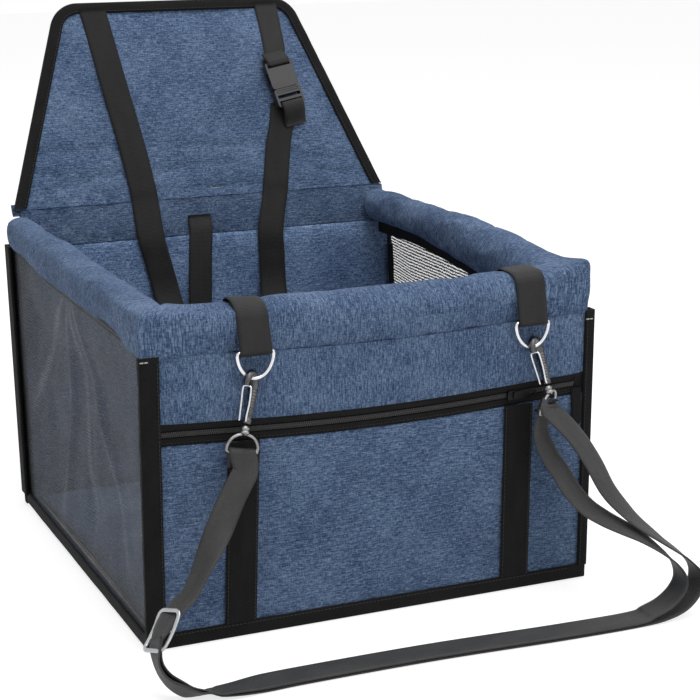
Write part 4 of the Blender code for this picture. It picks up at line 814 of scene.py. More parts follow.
def lead():
    """One strap from eye to eye, and the doubled length back along it to the adjuster."""
    east = bar_way("left")
    west = -bar_way("right")
    south = (0, -math.cos(LEAD_TILT), -math.sin(LEAD_TILT))
    floor = [(x, y, LEAD_FLOOR_Z) for x, y in FLOOR_RUN]
    points = [on_bar(LEFT_BAR, 180) - Vector((0, 0, TAIL))]
    points += [on_bar(LEFT_BAR, degrees) for degrees in (180, 135, 90, 45, 0)]
    points += list(LEFT_DOWN) + floor + list(RIGHT_UP)
    points += [on_bar(RIGHT_BAR, degrees, BAR_SHIFT) for degrees in (0, 36, 68)]
    path = curve(points, LEAD_FINE)
    stops = [(0, east), (0.05, east), (0.165, south), (0.200, south), (0.225, TURNED), (0.252, MOST_TURNED)]
    stops += [(0.270, LESS_TURNED), (0.290, LYING), (0.34, south), (0.79, south), (0.93, west), (1, west)]
    sides = turned_sides(stops, path)
    main = ribbon("lead_strap_woven", path, sides, LEAD_W, LEAD_T, LEAD_WEB_PAINTED_SHEEN)
    place(main, "seat", "black_webbing", "lead_strap")
    adjuster(path, sides)
    floor = [(x, y, LEAD_FLOOR_Z + LEAD_STEP) for x, y in reversed(FLOOR_RUN)]
    back = []
    down = [Vector(p) for p in LEFT_DOWN]
    ways = tangents(down)
    for k in range(len(down) - 1, 7, -1):
        near = min(range(len(path)), key=lambda n: (path[n] - down[k]).length)
        inward = ways[k].cross(sides[near]).normalized()
        back.append(down[k] + inward * (LEAD_STEP * (1 + TURN_SLACK)))
    points = [on_bar(RIGHT_BAR, degrees, -BAR_SHIFT) for degrees in (112, 146, 180)]
    points += list(RETURN_DOWN) + floor + back
    path = curve(points, LEAD_FINE)
    stops = [(0, west), (0.10, west), (0.30, south), (0.83, south), (0.885, LYING), (0.908, LESS_TURNED)]
    stops += [(0.928, MOST_TURNED), (0.960, TURNED), (0.99, south), (1, south)]
    sides = turned_sides(stops, path)
    second = ribbon("lead_return_woven", path, sides, LEAD_W, LEAD_T, LEAD_WEB_PAINTED_SHEEN)
    place(second, "seat", "black_webbing", "lead_return_strap")


lead()


# The rim: one sleeve round three sides over hidden tubes
def sag(x, depth):
    share = max(0, 1 - (x / SAG_HALF) ** 2)
    return depth * share**SAG_POWER


def rim_z(x):
    return RIM_Z - sag(x, RIM_SAG)


def zip_mid(x):
    return ZIP_Z - sag(x, ZIP_SAG)


def back_front_y(z):
    """The inner face of the back wall, and of the band above it."""
    if z <= CREASE_LOW_Z:
        return BACK_Y - BACK_T + BACK_SLOPE * z
    low = BACK_TOP_Y - BACK_T
    share = (z - CREASE_LOW_Z) / (CREASE_Z - CREASE_LOW_Z)
    return low + (CREASE_Y - low) * share


RIM_SIDES = 48
RISES = {
    -1: ((-0.18, 0.0), (-0.12, 0.0015), (-0.04, 0.0016), (0.10, 0.0052), (0.19, 0.0068)),
    1: ((-0.18, 0.0), (-0.13, 0.0033), (-0.08, 0.0066), (0.0, 0.0104), (0.10, 0.0116), (0.15, 0.0094), (0.19, 0.0066)),
}
RISE_BLEND = (-0.03, -0.02, -0.01, 0.0, 0.01, 0.02, 0.03)
REAR_OUT = {-1: 0.0070, 1: 0.0055}
REAR_THINNER = 0.32
REAR_FROM_Y = -0.13
LEFT_THIN_Y = (-0.18, -0.12, 0.0, 0.10, 0.19)
LEFT_THIN = (0.0, 0.07, 0.07, 0.12, 0.24)
LEFT_SLIM = 0.19


def rearward(y):
    """How far along its thinning rear part the right rim is, from 0 to 1."""
    return smooth_step((y - REAR_FROM_Y) / (0.19 - REAR_FROM_Y))


def side_rim_z(side, y):
    """The height of a side's rim, which rises behind its front corner."""
    places, rises = zip(*RISES[side])
    near = smooth_step((y - places[0]) / 0.02)
    return RIM_Z + near * sum(float(np.interp(y + d, places, rises)) for d in RISE_BLEND) / len(RISE_BLEND)


def side_rim_x(side, y):
    return side * (RIM_HALF + REAR_OUT[side] * rearward(y))


def thinner(side, y):
    """The share of its radius that a side's rim lacks."""
    return REAR_THINNER * rearward(y) if side > 0 else float(np.interp(y, LEFT_THIN_Y, LEFT_THIN))


def side_rim_low(side, y):
    """The underside of a side's rim, which the inner tape hangs from."""
    return side_rim_z(side, y) - RIM_R * (1 - thinner(side, y)) - GAP


ROUND_TOP = 2.2
ROUND_LOW = 2.8


def mesh_top(side, y):
    """Where the mesh meets the outer low face of a side's rim."""
    radius = RIM_R * (1 - thinner(side, y))
    share = min(max(MESH_X - abs(side_rim_x(side, y)), 0) / radius, 0.97)
    return side_rim_z(side, y) - radius * (1 - share**ROUND_LOW) ** (1 / ROUND_LOW) + GAP


ROUND_CORNER = 4.4
LOOP_NIP = 0.0011
EAR_RISE = 0.0125
EAR_REACH = 0.0010
EAR_NARROWER = 0.21


def rim_section(square, radius):
    """A rounded section, squarer on its outer half by this much."""
    out = []
    for k in range(RIM_SIDES):
        angle = 2 * math.pi * k / RIM_SIDES
        c = math.cos(angle)
        s = math.sin(angle)
        power = ROUND_TOP if s > 0 else ROUND_LOW
        power += (ROUND_CORNER - power) * square * smooth_step((c + 0.35) / 0.6)
        out.append((
            radius * math.copysign(abs(c) ** (2 / power), c),
            radius * math.copysign(abs(s) ** (2 / power), s),
        ))
    return out


INNER_TOP = (0.643, 0.766)


def rim_ring(side, along, front, rear, ear, slim):
    """One ring of the sleeve: on the front at x = along, or on a side at y = along."""
    from_end = RIM_HALF - abs(along) if front else RIM_HALF + along
    square = 1 - smooth_step(from_end / (3 * RIM_R))
    lean = smooth_step(1 - from_end / (2 * RIM_R))
    radius = RIM_R * (1 - rear)
    if front:
        for x, _ in RINGS.values():
            radius -= LOOP_NIP * math.exp(-(((along - x) / (WEB_W * 0.62)) ** 4))
    row = []
    for a, b in rim_section(square, radius):
        inward = max(0.0, (b * INNER_TOP[1] - a * INNER_TOP[0]) / radius)
        a, b = (c * (1 - slim * inward**0.6) for c in (a, b))
        point = ear * (max(a, 0) / radius) ** 2 * (max(b, 0) / radius) ** 2 * (1 - smooth_step(from_end / (1.3 * RIM_R)))
        a += EAR_REACH * point
        b += EAR_RISE * point
        aside = a * (1 - EAR_NARROWER * ear * square) if a > 0 else a
        if front:
            sign = math.copysign(1, along)
            p = Vector((along + sign * lean * aside, -RIM_HALF - a, rim_z(along) + b))
        else:
            level = side_rim_z(side, along)
            near_back = smooth_step((along - 0.13) / 0.06)
            tilt = (back_front_y(level + b) - back_front_y(level)) * near_back
            p = Vector((side_rim_x(side, along) + side * aside, along - lean * a + tilt, level + b))
        pucker = 0.0005 * rough(p, 0.010, 3.0) + 0.0009 * rough(p, 0.034, 1.0)
        crease = math.exp(-((from_end / 0.011) ** 2)) * 0.0011 * math.sin(math.atan2(b, a) * 7 + 0.6)
        middle = (along, -RIM_HALF, rim_z(along)) if front else (side_rim_x(side, along), along, side_rim_z(side, along))
        way = (p - Vector(middle)).normalized()
        row.append(p + way * (pucker + crease))
    return row


def rim():
    """The padded sleeve of the rim, mitred at its two front corners."""
    back_end = back_front_y(RIM_Z) - CROWN - 2 * GAP
    rows = []
    close = [0, 0.004, 0.009, 0.015, 0.022, 0.030, 0.040]
    side_run = [-RIM_HALF + d for d in close] + spread(-RIM_HALF + 0.048, back_end, 62)
    front_run = [-RIM_HALF + d for d in close[1:]] + spread(-RIM_HALF + 0.048, RIM_HALF - 0.048, 66)
    front_run += [RIM_HALF - d for d in reversed(close[1:])]

    def side_rows(side, run):
        for y in run:
            ear = 1.0 if side > 0 else 0.0
            rows.append(rim_ring(side, y, False, thinner(side, y), ear, 0 if side > 0 else LEFT_SLIM))

    side_rows(-1, list(reversed(side_run)))
    for x in front_run:
        rows.append(rim_ring(0, x, True, 0, 1.0 if x > 0 else 0.0, LEFT_SLIM * 0.5 * smooth_step((-0.03 - x) / 0.12)))
    side_rows(1, side_run)
    lengths = [0.0]
    for k in range(1, len(rows)):
        a = sum(rows[k - 1], Vector()) / RIM_SIDES
        b = sum(rows[k], Vector()) / RIM_SIDES
        lengths.append(lengths[-1] + (b - a).length)
    uvs = [[(length, 2 * math.pi * RIM_R * j / RIM_SIDES) for j in range(RIM_SIDES + 1)] for length in lengths]
    shape = Shape()
    start = shape.grid(rows, uvs, wrap=True)
    for end, way in ((0, -1), (len(rows) - 1, 1)):
        ring = rows[end]
        middle = sum(ring, Vector()) / RIM_SIDES
        first = start + end * RIM_SIDES
        inner = [middle + (p - middle) * 0.55 + Vector((0, 0.0006, 0)) for p in ring]
        base = len(shape.points)
        shape.points.extend(tuple(p) for p in inner)
        shape.points.append(tuple(middle + Vector((0, 0.0008, 0))))
        for j in range(RIM_SIDES):
            n = (j + 1) % RIM_SIDES
            quad = [first + j, first + n, base + n, base + j]
            tri = [base + j, base + n, base + RIM_SIDES]
            uv = [uvs[end][j], uvs[end][j + 1], uvs[end][j + 1], uvs[end][j]]
            if way < 0:
                quad.reverse()
                tri.reverse()
            shape.face(quad, uv)
            shape.face(tri, uv[:3])
    made = outward(shape).build("rim_sleeve_cloth", CANVAS_UPRIGHT)
    pins = []
    for i in range(len(rows)):
        for j in range(RIM_SIDES):
            angle = 360 * j / RIM_SIDES
            if 225 < angle < 315 or i < 2 or i > len(rows) - 3:
                pins.append(i * RIM_SIDES + j)
    pins += list(range(len(rows) * RIM_SIDES, len(shape.points)))
    soften(made, pins, 0.35, 0.030, 0.0016)
    place(made, "seat", "blue_canvas", "front_rim_sleeve", "left_rim_sleeve", "right_rim_sleeve")


rim()


def side_tube(side, node_name):
    """The hidden tube in a side of the rim, along the sleeve's own line."""
    lo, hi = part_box(node_name)
    line = [Vector((side_rim_x(side, y), y, side_rim_z(side, y))) for y in spread(lo.y, hi.y - 0.004, 40)]
    made = tube(node_name + "_bent", line, (hi.z - lo.z) / 2, PIPE, normal=(0, 0, 1))
    place(made, "seat", "pale_tube", node_name)


# Front wall
def under_rim_z(x):
    """Where the panels before the rim's middle run up under it."""
    return rim_z(x) - RIM_R * 0.76


def front_sheet(name, low, high, rows, cols, thick, material, swell, slot, node_name, pressure, grow, cap, dips=()):
    """A soft panel of the front wall between two curves of height; dips are x places that are sewn down."""
    front = []
    back = []
    uv = []
    for i in range(rows):
        t = i / (rows - 1)
        f_row = []
        b_row = []
        u_row = []
        for x in spread(-HALF_X, HALF_X, cols):
            z0 = low(x)
            z = z0 + (high(x) - z0) * t
            edge = smooth_step(min(t, 1 - t) * (high(x) - z0) / 0.012) * smooth_step((HALF_X - abs(x)) / 0.016)
            p = Vector((x, FRONT_Y, z))
            puff = swell * edge + 0.0006 * edge * rough(p, 0.05, 5.0) + 0.0003 * edge * rough(p, 0.016, 2.0)
            for dip in dips:
                puff -= 0.0008 * math.exp(-(((x - dip) / 0.006) ** 2)) * edge
            f_row.append(Vector((x, FRONT_Y - puff, z)))
            b_row.append(Vector((x, FRONT_Y + thick, z)))
            u_row.append((x, z))
        front.append(f_row)
        back.append(b_row)
        uv.append(u_row)
    made = shell(name, front, back, uv, material)
    if pressure:
        pins = border_of(rows, cols, 4) + list(range(rows * cols, 2 * rows * cols))
        soften(made, pins, pressure, grow, cap)
    place(made, "seat", slot, node_name)
    return made


BAND_EDGES = (-0.1310, -0.1030, 0.1172, 0.1442)
front_sheet("pocket_panel_cloth", lambda x: LOW_Z, lambda x: zip_mid(x) - ZIP_W / 2 - GAP, 46, 100,
            0.0026, CANVAS, 0.0007, "blue_canvas", "pocket_panel", 0.10, 0.012, 0.0008, BAND_EDGES)
front_sheet("upper_panel_cloth", lambda x: zip_mid(x) + ZIP_UP + GAP, under_rim_z, 22, 100,
            0.0026, CANVAS_UPRIGHT, 0.0008, "blue_canvas", "upper_front_panel", 0.10, 0.012, 0.0010)


def flat_shell(name, low, high, y0, y1, cols, rows, material, half=HALF_X):
    front = []
    back = []
    uv = []
    for i in range(rows):
        t = i / (rows - 1)
        xs = spread(-half, half, cols)
        zs = [low(x) + (high(x) - low(x)) * t for x in xs]
        front.append([Vector((x, y0, z)) for x, z in zip(xs, zs)])
        back.append([Vector((x, y1, z)) for x, z in zip(xs, zs)])
        uv.append([(z, x) for x, z in zip(xs, zs)])
    return shell(name, front, back, uv, material)


CHAIN_W = 0.0050
CHAIN_Y = FRONT_Y - GAP
TOOTH_PITCH = 0.0017
TOOTH_W = 0.0023


def zipper():
    """The tape behind, and the coil of small teeth in two rows before it."""
    tape = flat_shell("zipper_tape_woven", lambda x: zip_mid(x) - ZIP_W / 2, lambda x: zip_mid(x) + ZIP_W / 2,
                      FRONT_Y, FRONT_Y + 0.0026, 60, 3, TAPE)
    place(tape, "seat", "black_tape", "zipper_tape")
    for name, sign in (("upper", 1), ("lower", -1)):
        line = [Vector((x, CHAIN_Y - 0.0002, zip_mid(x) + sign * CHAIN_W * 0.95)) for x in spread(-0.186, 0.186, 60)]
        ridge = ribbon(f"zipper_{name}_ridge", line, [Vector((0, 0, 1))] * len(line), 0.0034, 0.0009, TAPE)
        place(ridge, "seat", "black_tape")
    shape = Shape()
    count = int(2 * 0.1860 / TOOTH_PITCH)
    for k in range(count):
        x = -0.1860 + TOOTH_PITCH * (k + 0.5)
        for sign in (-1, 1):
            shift = TOOTH_PITCH / 4 * sign
            middle = Vector((x + shift, CHAIN_Y - 0.0006, zip_mid(x) + sign * TOOTH_W * 0.42))
            rows = []
            for a, r in ((-0.5, 0.30), (-0.36, 0.46), (0.36, 0.46), (0.5, 0.30)):
                rows.append([
                    middle + Vector((math.cos(2 * math.pi * j / 6) * r * TOOTH_PITCH * 0.9,
                                     math.sin(2 * math.pi * j / 6) * r * TOOTH_PITCH * 0.8, a * TOOTH_W))
                    for j in range(6)
                ])
            uvs = [[(0.0, 0.0)] * 7] * 4
            base = shape.grid(rows, uvs, wrap=True)
            shape.face([base + j for j in reversed(range(6))], [(0, 0)] * 6)
            shape.face([base + 18 + j for j in range(6)], [(0, 0)] * 6)
    teeth = outward(shape).build("zipper_teeth", PLASTIC)
    place(teeth, "seat", "black_tape", "zipper_chain")


zipper()


def pocket_band(name, x_top, x_low):
    z_top = zip_mid(x_top) - ZIP_W / 2 - GAP
    z_low = LOW_Z + TAPE_W - 0.002
    y = FRONT_Y - 0.0021
    path = []
    for k in range(30):
        t = k / 29
        p = Vector((x_low + (x_top - x_low) * t, y, z_low + (z_top - z_low) * t))
        path.append(p + Vector((0, 0.0004 * rough(p, 0.03, 7.0), 0)))
    # The band is drawn in the darker binding tape, not the webbing, as painted shade.
    made = ribbon(name + "_woven", path, [Vector((1, 0, 0))] * len(path), WEB_W, WEB_T, TAPE, level=True)
    place(made, "seat", "black_webbing", name)
    return path


BANDS = {"left_pocket_band": (-0.1162, -0.1211), "right_pocket_band": (0.1312, 0.1304)}
BAND_PATHS = {name: pocket_band(name, *places) for name, places in BANDS.items()}


# Binding tapes folded round the edges of the box
TAPE_IN_X = MESH_X + GAP
TAPE_OUT_X = TAPE_IN_X + TAPE_T
TAPE_IN_Y = FRONT_Y - GAP
TAPE_OUT_Y = TAPE_IN_Y - TAPE_T
FOOT_Z = 0.0002
CORNER_TOP_Z = RIM_Z - RIM_R * 0.76
BACK_TAPE_Y = BACK_Y + GAP + TAPE_T


def back_tape_y(z):
    return BACK_TAPE_Y + BACK_SLOPE * z


def folded_tape(name, start, end, first, second, first_leg, second_leg, wave=0.0005):
    """A tape folded round an edge with a soft outer corner and slightly uneven legs."""
    first = Vector(first)
    second = Vector(second)
    count = max(6, int((Vector(end) - Vector(start)).length / 0.006))
    corner = 0.0016
    outer = [(first_leg, 0.0)]
    outer += [(corner * (1 - math.sin(a)), corner * (1 - math.cos(a)))
              for a in (math.radians(d) for d in (0, 22, 45, 68, 90))]
    outer.append((0.0, second_leg))
    full = []
    for (a0, b0), (a1, b1) in zip(outer, outer[1:]):
        steps = 4 if math.hypot(a1 - a0, b1 - b0) > 3 * corner else 1
        full += [(a0 + (a1 - a0) * k / steps, b0 + (b1 - b0) * k / steps) for k in range(steps)]
    full.append(outer[-1])
    inner = []
    for a, b in full:
        inner.append((max(a, TAPE_T) if b < corner else TAPE_T, max(b, TAPE_T) if a < corner else TAPE_T))
    front = []
    back = []
    uv = []
    for k in range(count + 1):
        t = k / count
        base = Vector(start).lerp(Vector(end), t)
        f_row = []
        b_row = []
        u_row = []
        run = 0.0
        for j, ((a, b), (c, d)) in enumerate(zip(full, inner)):
            if j:
                run += math.hypot(a - full[j - 1][0], b - full[j - 1][1])
            p = base + first * a + second * b
            share = max(a / first_leg, b / second_leg)
            lift = wave * (0.6 * rough(p, 0.018, 9.0) + 0.4 * rough(p, 0.006, 4.0)) * share
            out = (-second if a > b else -first) * max(lift, -0.0002)
            f_row.append(p + out)
            b_row.append(base + first * c + second * d)
            u_row.append((run, t * (Vector(end) - Vector(start)).length))
        front.append(f_row)
        back.append(b_row)
        uv.append(u_row)
    return shell(name, front, back, uv, TAPE)


LEAN_UP = Vector((0, BACK_SLOPE, 1)).normalized()


FRONT_CORNER_LEGS = {-1: (0.0162, 0.0050), 1: (0.0092, 0.0105)}
FRONT_CORNER_OUT = {-1: 0.0, 1: 0.0022}
BACK_CORNER_LEGS = {-1: (0.0130, 0.0185), 1: (0.0105, 0.0105)}
BACK_CORNER_OUT = {-1: 0.0028, 1: 0.0}


def tapes():
    ends = ((-TAPE_OUT_X, TAPE_OUT_Y, FOOT_Z), (TAPE_OUT_X, TAPE_OUT_Y, FOOT_Z))
    made = folded_tape("front_bottom_binding", *ends, (0, 1, 0), (0, 0, 1), TAPE_LEG, TAPE_W)
    place(made, "seat", "black_tape", "front_bottom_tape")
    ends = ((-TAPE_OUT_X, back_tape_y(FOOT_Z), FOOT_Z), (TAPE_OUT_X, back_tape_y(FOOT_Z), FOOT_Z))
    made = folded_tape("back_bottom_binding", *ends, (0, -1, 0), LEAN_UP, BACK_T, TAPE_W)
    place(made, "seat", "black_tape", "back_bottom_tape")
    low = FOOT_Z + TAPE_W - 0.001
    for side, name in ((-1, "left"), (1, "right")):
        path = [Vector((side * (TAPE_IN_X + TAPE_T / 2), y, FOOT_Z + 0.0010 + TAPE_W / 2)) for y in spread(TAPE_IN_Y + GAP, BACK_Y, 40)]
        path = [p + Vector((side * 0.0003 * rough(p, 0.03, 3.0), 0, 0)) for p in path]
        made = ribbon(name + "_bottom_binding", path, [Vector((0, 0, 1))] * len(path), TAPE_W - 0.001, TAPE_T, TAPE)
        place(made, "seat", "black_tape", name + "_bottom_tape")
        x = side * (TAPE_OUT_X + FRONT_CORNER_OUT[side])
        ends = ((x, TAPE_OUT_Y, low), (x, TAPE_OUT_Y, CORNER_TOP_Z))
        legs = FRONT_CORNER_LEGS[side]
        made = folded_tape(name + "_front_corner_binding", *ends, (-side, 0, 0), (0, 1, 0), *legs, 0.0009)
        place(made, "seat", "black_tape", name + "_front_corner_tape")
        top = mesh_top(side, BACK_Y) + 0.0020
        x = side * (TAPE_OUT_X + BACK_CORNER_OUT[side])
        ends = ((x, back_tape_y(low), low), (x, back_tape_y(top), top))
        legs = BACK_CORNER_LEGS[side]
        made = folded_tape(name + "_back_corner_binding", *ends, (-side, 0, 0), (0, -1, 0), *legs, 0.0009)
        place(made, "seat", "black_tape", name + "_back_corner_tape")


tapes()


# Mesh sides with their inner tapes
FAN_FROM = (0.51, 1.04)
FAN_TO = ((0.95, 0.30), (0.66, 0.0), (0.40, 0.04), (0.12, 0.22))


def fan_fold(h, v):
    """Creases that spread from one place under the rim, as (share of the depth, share of the height)."""
    depth = 0.0
    for k, (eh, ev) in enumerate(FAN_TO):
        way = Vector((eh - FAN_FROM[0], ev - FAN_FROM[1]))
        off = Vector((h - FAN_FROM[0], v - FAN_FROM[1]))
        along = off.dot(way) / way.length_squared
        side = (off.x * way.y - off.y * way.x) / way.length
        width = 0.012 + 0.030 * max(along, 0)
        depth += (-0.0042 if k % 2 else 0.0034) * math.exp(-((side / width) ** 2)) * smooth_step(along / 0.25)
    return depth


def fan_crease_highlight(h, v):
    """How much a place on the mesh lies on one of its creases, from 0 to 1, for the painted highlight along them."""
    light = 0.0
    for eh, ev in FAN_TO:
        way = Vector((eh - FAN_FROM[0], ev - FAN_FROM[1]))
        off = Vector((h - FAN_FROM[0], v - FAN_FROM[1]))
        along = off.dot(way) / way.length_squared
        side = (off.x * way.y - off.y * way.x) / way.length + 0.02 * math.sin(3 * along)
        fade = smooth_step(along / 0.12) * smooth_step((1.02 - along) / 0.4)
        light = max(light, math.exp(-((side / (0.007 + 0.010 * max(along, 0))) ** 2)) * fade)
    return light


def mesh_side(side, name):
    rows = []
    uvs = []
    crease_highlights = []
    for v in spread(0, 1, 80):
        row = []
        uv = []
        for h in spread(0, 1, 120):
            y0 = FRONT_Y + GAP
            top = mesh_top(side, y0 + (BACK_Y - y0) * h)
            z = LOW_Z + (top - LOW_Z) * v
            y = y0 + (BACK_Y + BACK_SLOPE * z - y0) * h
            edge = min(smooth_step((min(v, 1 - v) - 0.05) / 0.25), smooth_step((min(h, 1 - h) - 0.03) / 0.25))
            fold = math.sin((h * 1.3 + v * 0.9 + 0.15) * 2 * math.pi * 1.6)
            bow = edge * (0.0070 + 0.0020 * fold) + fan_fold(h, v) * edge
            p = Vector((side * (MESH_X - 0.0006 - bow), y, z))
            p.x += edge * 0.0008 * rough(p, 0.02, 6.0)
            # The crease layer carries the painted highlight on the mesh's creases.
            crease_highlights.append(fan_crease_highlight(h, v))
            row.append(p)
            uv.append((y, z))
        rows.append(row)
        uvs.append(uv)
    shape = Shape()
    shape.grid(rows, uvs, flip=side > 0)
    made = shape.build(name + "_mesh_cloth", NETTING)
    layer = made.data.attributes.new(CREASE_HIGHLIGHT_LAYER, "FLOAT", "POINT")
    layer.data.foreach_set("value", crease_highlights)
    place(made, "seat", "grey_mesh", name + "_mesh_panel")


def inner_tape(side, name):
    """One binding along the top of the mesh and down its back edge, on the inside."""
    x = side * (MESH_X - 0.0012 - GAP - 0.0006)
    top = RIM_Z - RIM_R - GAP - TAPE_W / 2
    y_back = back_front_y(top) - GAP - CROWN - TAPE_W / 2
    run = spread(-0.1900, y_back + TAPE_W / 2 - 0.001, 60)
    rail = [Vector((side_rim_x(side, y), y, side_rim_low(side, y) - TAPE_W / 2)) for y in run]
    made = ribbon(name + "_inner_binding", rail, [Vector((0, 0, 1))] * len(rail), TAPE_W, 0.0012, TAPE)
    place(made, "seat", "black_tape", name + "_inner_tape")
    post = []
    for z in spread(0.0120, top - TAPE_W / 2, 40):
        p = Vector((x - side * 0.0001, back_front_y(z) - GAP - TAPE_W / 2, z))
        post.append(p)
    made = ribbon(name + "_inner_post", post, [Vector((0, 1, 0))] * len(post), TAPE_W, 0.0012, TAPE)
    place(made, "seat", "black_tape")


for side, name in ((-1, "left"), (1, "right")):
    mesh_side(side, name)
    inner_tape(side, name)


# Inside: front lining, floor and its pad, back wall and band; the lining canvas is painted lighter as painted light,
# the band's darker as painted shade
def lining_wall():
    half = HALF_X - 0.0004
    y0 = FRONT_Y + 0.0031
    rows, cols = 30, 70
    front, back, uv = [], [], []
    for i in range(rows):
        t = i / (rows - 1)
        f_row, b_row, u_row = [], [], []
        for x in spread(-half, half, cols):
            high = rim_z(x) - RIM_R * 0.94
            z = LOW_Z + (high - LOW_Z) * t
            edge = smooth_step(min(t, 1 - t) / 0.08) * smooth_step((half - abs(x)) / 0.02)
            p = Vector((x, y0, z))
            b_row.append(Vector((x, y0 + 0.0058 - 0.0010 * (1 - edge) + 0.0004 * edge * rough(p, 0.04, 8.0), z)))
            f_row.append(p)
            u_row.append((x, z))
        front.append(f_row)
        back.append(b_row)
        uv.append(u_row)
    made = shell("front_lining_cloth", front, back, uv, LINING_PAINTED_LIGHTER)
    place(made, "seat", "blue_lining", "front_panel")


def floor_pad():
    lo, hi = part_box("floor_liner")
    rows, cols = 56, 56
    front, back, uv = [], [], []
    middle = (lo + hi) / 2
    for i in range(rows):
        v = 2 * i / (rows - 1) - 1
        f_row, b_row, u_row = [], [], []
        for j in range(cols):
            u = 2 * j / (cols - 1) - 1
            pull = 0.0030
            x = u * ((hi.x - lo.x) / 2 - pull * (1 - v * v) - 0.0008)
            y = middle.y + v * ((hi.y - lo.y) / 2 - pull * (1 - u * u) - 0.0008)
            rise = ((1 - u**4) * (1 - v**4)) ** 0.5
            p = Vector((x, y, 0))
            top = lo.z + 0.0040 + (hi.z - lo.z - 0.0048) * rise + 0.0005 * rise * rough(p, 0.05, 11.0)
            f_row.append(Vector((x, y, top)))
            b_row.append(Vector((x, y, lo.z + 0.0002)))
            u_row.append((x, y))
        front.append(f_row)
        back.append(b_row)
        uv.append(u_row)
    made = shell("floor_pad_cloth", front, back, uv, LINING_PAINTED_LIGHTER)
    soften(made, border_of(rows, cols, 1) + list(range(rows * cols, 2 * rows * cols)), 0.10, 0.012, 0.0012)
    place(made, "seat", "blue_lining", "floor_liner")


def under_cloth():
    lo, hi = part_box("floor_cover")
    xs = spread(lo.x, hi.x, 40)
    ys = spread(lo.y, hi.y, 40)
    low = [[Vector((x, y, lo.z + 0.0002)) for x in xs] for y in ys]
    high = [[Vector((x, y, hi.z)) for x in xs] for y in ys]
    uv = [[(x, y) for x in xs] for y in ys]
    made = shell("floor_cover_cloth", high, low, uv, LINING_PAINTED_LIGHTER)
    place(made, "seat", "blue_lining", "floor_cover")


def back_wall():
    """The tall padded back, puffed a little inside its border with soft lumps."""
    rows, cols = 60, 80
    front, back, uv = [], [], []
    for i in range(rows):
        t = i / (rows - 1)
        z = LOW_Z + (CREASE_LOW_Z - 2 * GAP - LOW_Z) * t
        f_row, b_row, u_row = [], [], []
        for x in spread(-HALF_X, HALF_X, cols):
            edge = smooth_step(min(t, 1 - t) / 0.06) * smooth_step((HALF_X - abs(x)) / 0.018)
            p = Vector((x, 0, z))
            puff = 0.0011 * edge + 0.0005 * edge * rough(p, 0.045, 13.0)
            f_row.append(Vector((x, back_front_y(z) - puff, z)))
            b_row.append(Vector((x, BACK_Y + BACK_SLOPE * z + 0.0006 * edge * (0.5 + rough(p, 0.06, 14.0)), z)))
            u_row.append((x, z))
        front.append(f_row)
        back.append(b_row)
        uv.append(u_row)
    made = shell("back_wall_cloth", front, back, uv, LINING_PAINTED_LIGHTER)
    soften(made, border_of(rows, cols, 1), 0.12, 0.010, 0.0010)
    place(made, "seat", "blue_lining", "back_cover")


BAND_TAPER = 0.0110


def band():
    """The short band between the two creases at the foot of the backrest flap."""
    low_y = BACK_TOP_Y - BACK_T
    along = Vector((0, CREASE_Y - low_y, CREASE_Z - CREASE_LOW_Z))
    out = Vector((0, -along.z, along.y)).normalized()
    start = Vector((0, low_y, CREASE_LOW_Z))
    shares = [0.014, 0.035] + spread(0.07, 0.945, 16) + [0.985, 1.0]
    rows, cols = len(shares), 80
    front, back, uv = [], [], []
    for t in shares:
        full = smooth_step(min(t, 1 - t) / 0.30)
        left = HALF_X - BAND_TAPER * smooth_step(t)
        f_row, b_row, u_row = [], [], []
        for x in spread(-left, HALF_X, cols):
            base = start + along * t + Vector((x, 0, 0))
            tuck = full * smooth_step(min(HALF_X - x, left + x) / (0.010 + 0.010 * t))
            puff = 0.0014 * tuck - 0.0006 * (1 - tuck) * (1 - t) + 0.0006 * tuck * rough(base, 0.03, 15.0)
            f_row.append(base + out * puff)
            b_row.append(base + Vector((0, SEAM_T + (BACK_T - SEAM_T) * full, 0)))
            u_row.append((x, t * along.length))
        front.append(f_row)
        back.append(b_row)
        uv.append(u_row)
    # The band's canvas is painted darker, as painted shade.
    made = shell("back_band_cloth", front, back, uv, BAND_PAINTED_SHADE)
    soften(made, border_of(rows, cols, 1), 0.15, 0.016, 0.0010)
    place(made, "seat", "blue_lining", "back_band")


lining_wall()
floor_pad()
under_cloth()
back_wall()
band()


# The backrest flap
SLANT = math.sqrt(1 + FLAP_TAPER**2)


def on_flap(u, v, w):
    return FOLD + Vector((u, 0, 0)) + FLAP_V * v + FLAP_W * w


def flap_half_line(inset, sides=40, arcs=14):
    """(half width, height) of the flap from the fold line up and round the corner."""
    height = FLAP_H - inset
    radius = FLAP_CORNER_R - inset
    half = FLAP_HALF - inset * SLANT
    centre_v = height - radius
    centre_u = half - FLAP_TAPER * centre_v - radius * SLANT
    start = math.atan(FLAP_TAPER)
    arc = []
    for k in range(arcs + 1):
        angle = start + (math.pi / 2 - start) * k / arcs
        arc.append((centre_u + radius * math.cos(angle), centre_v + radius * math.sin(angle)))
    return [(half - FLAP_TAPER * v, v) for v in spread(0, arc[0][1], sides)[:-1]] + arc


def edge_distance(u, v):
    side = (FLAP_HALF - FLAP_TAPER * v - abs(u - FLAP_SHIFT)) / SLANT
    return min(side, FLAP_H - v)


def flap_swell(u, v):
    return smooth_step((edge_distance(u, v) - BIND_W) / (2 * BIND_W)) * smooth_step(v / (1.5 * BIND_W))


def relieved(v):
    return max(v, GAP + FOLD_RELIEF)


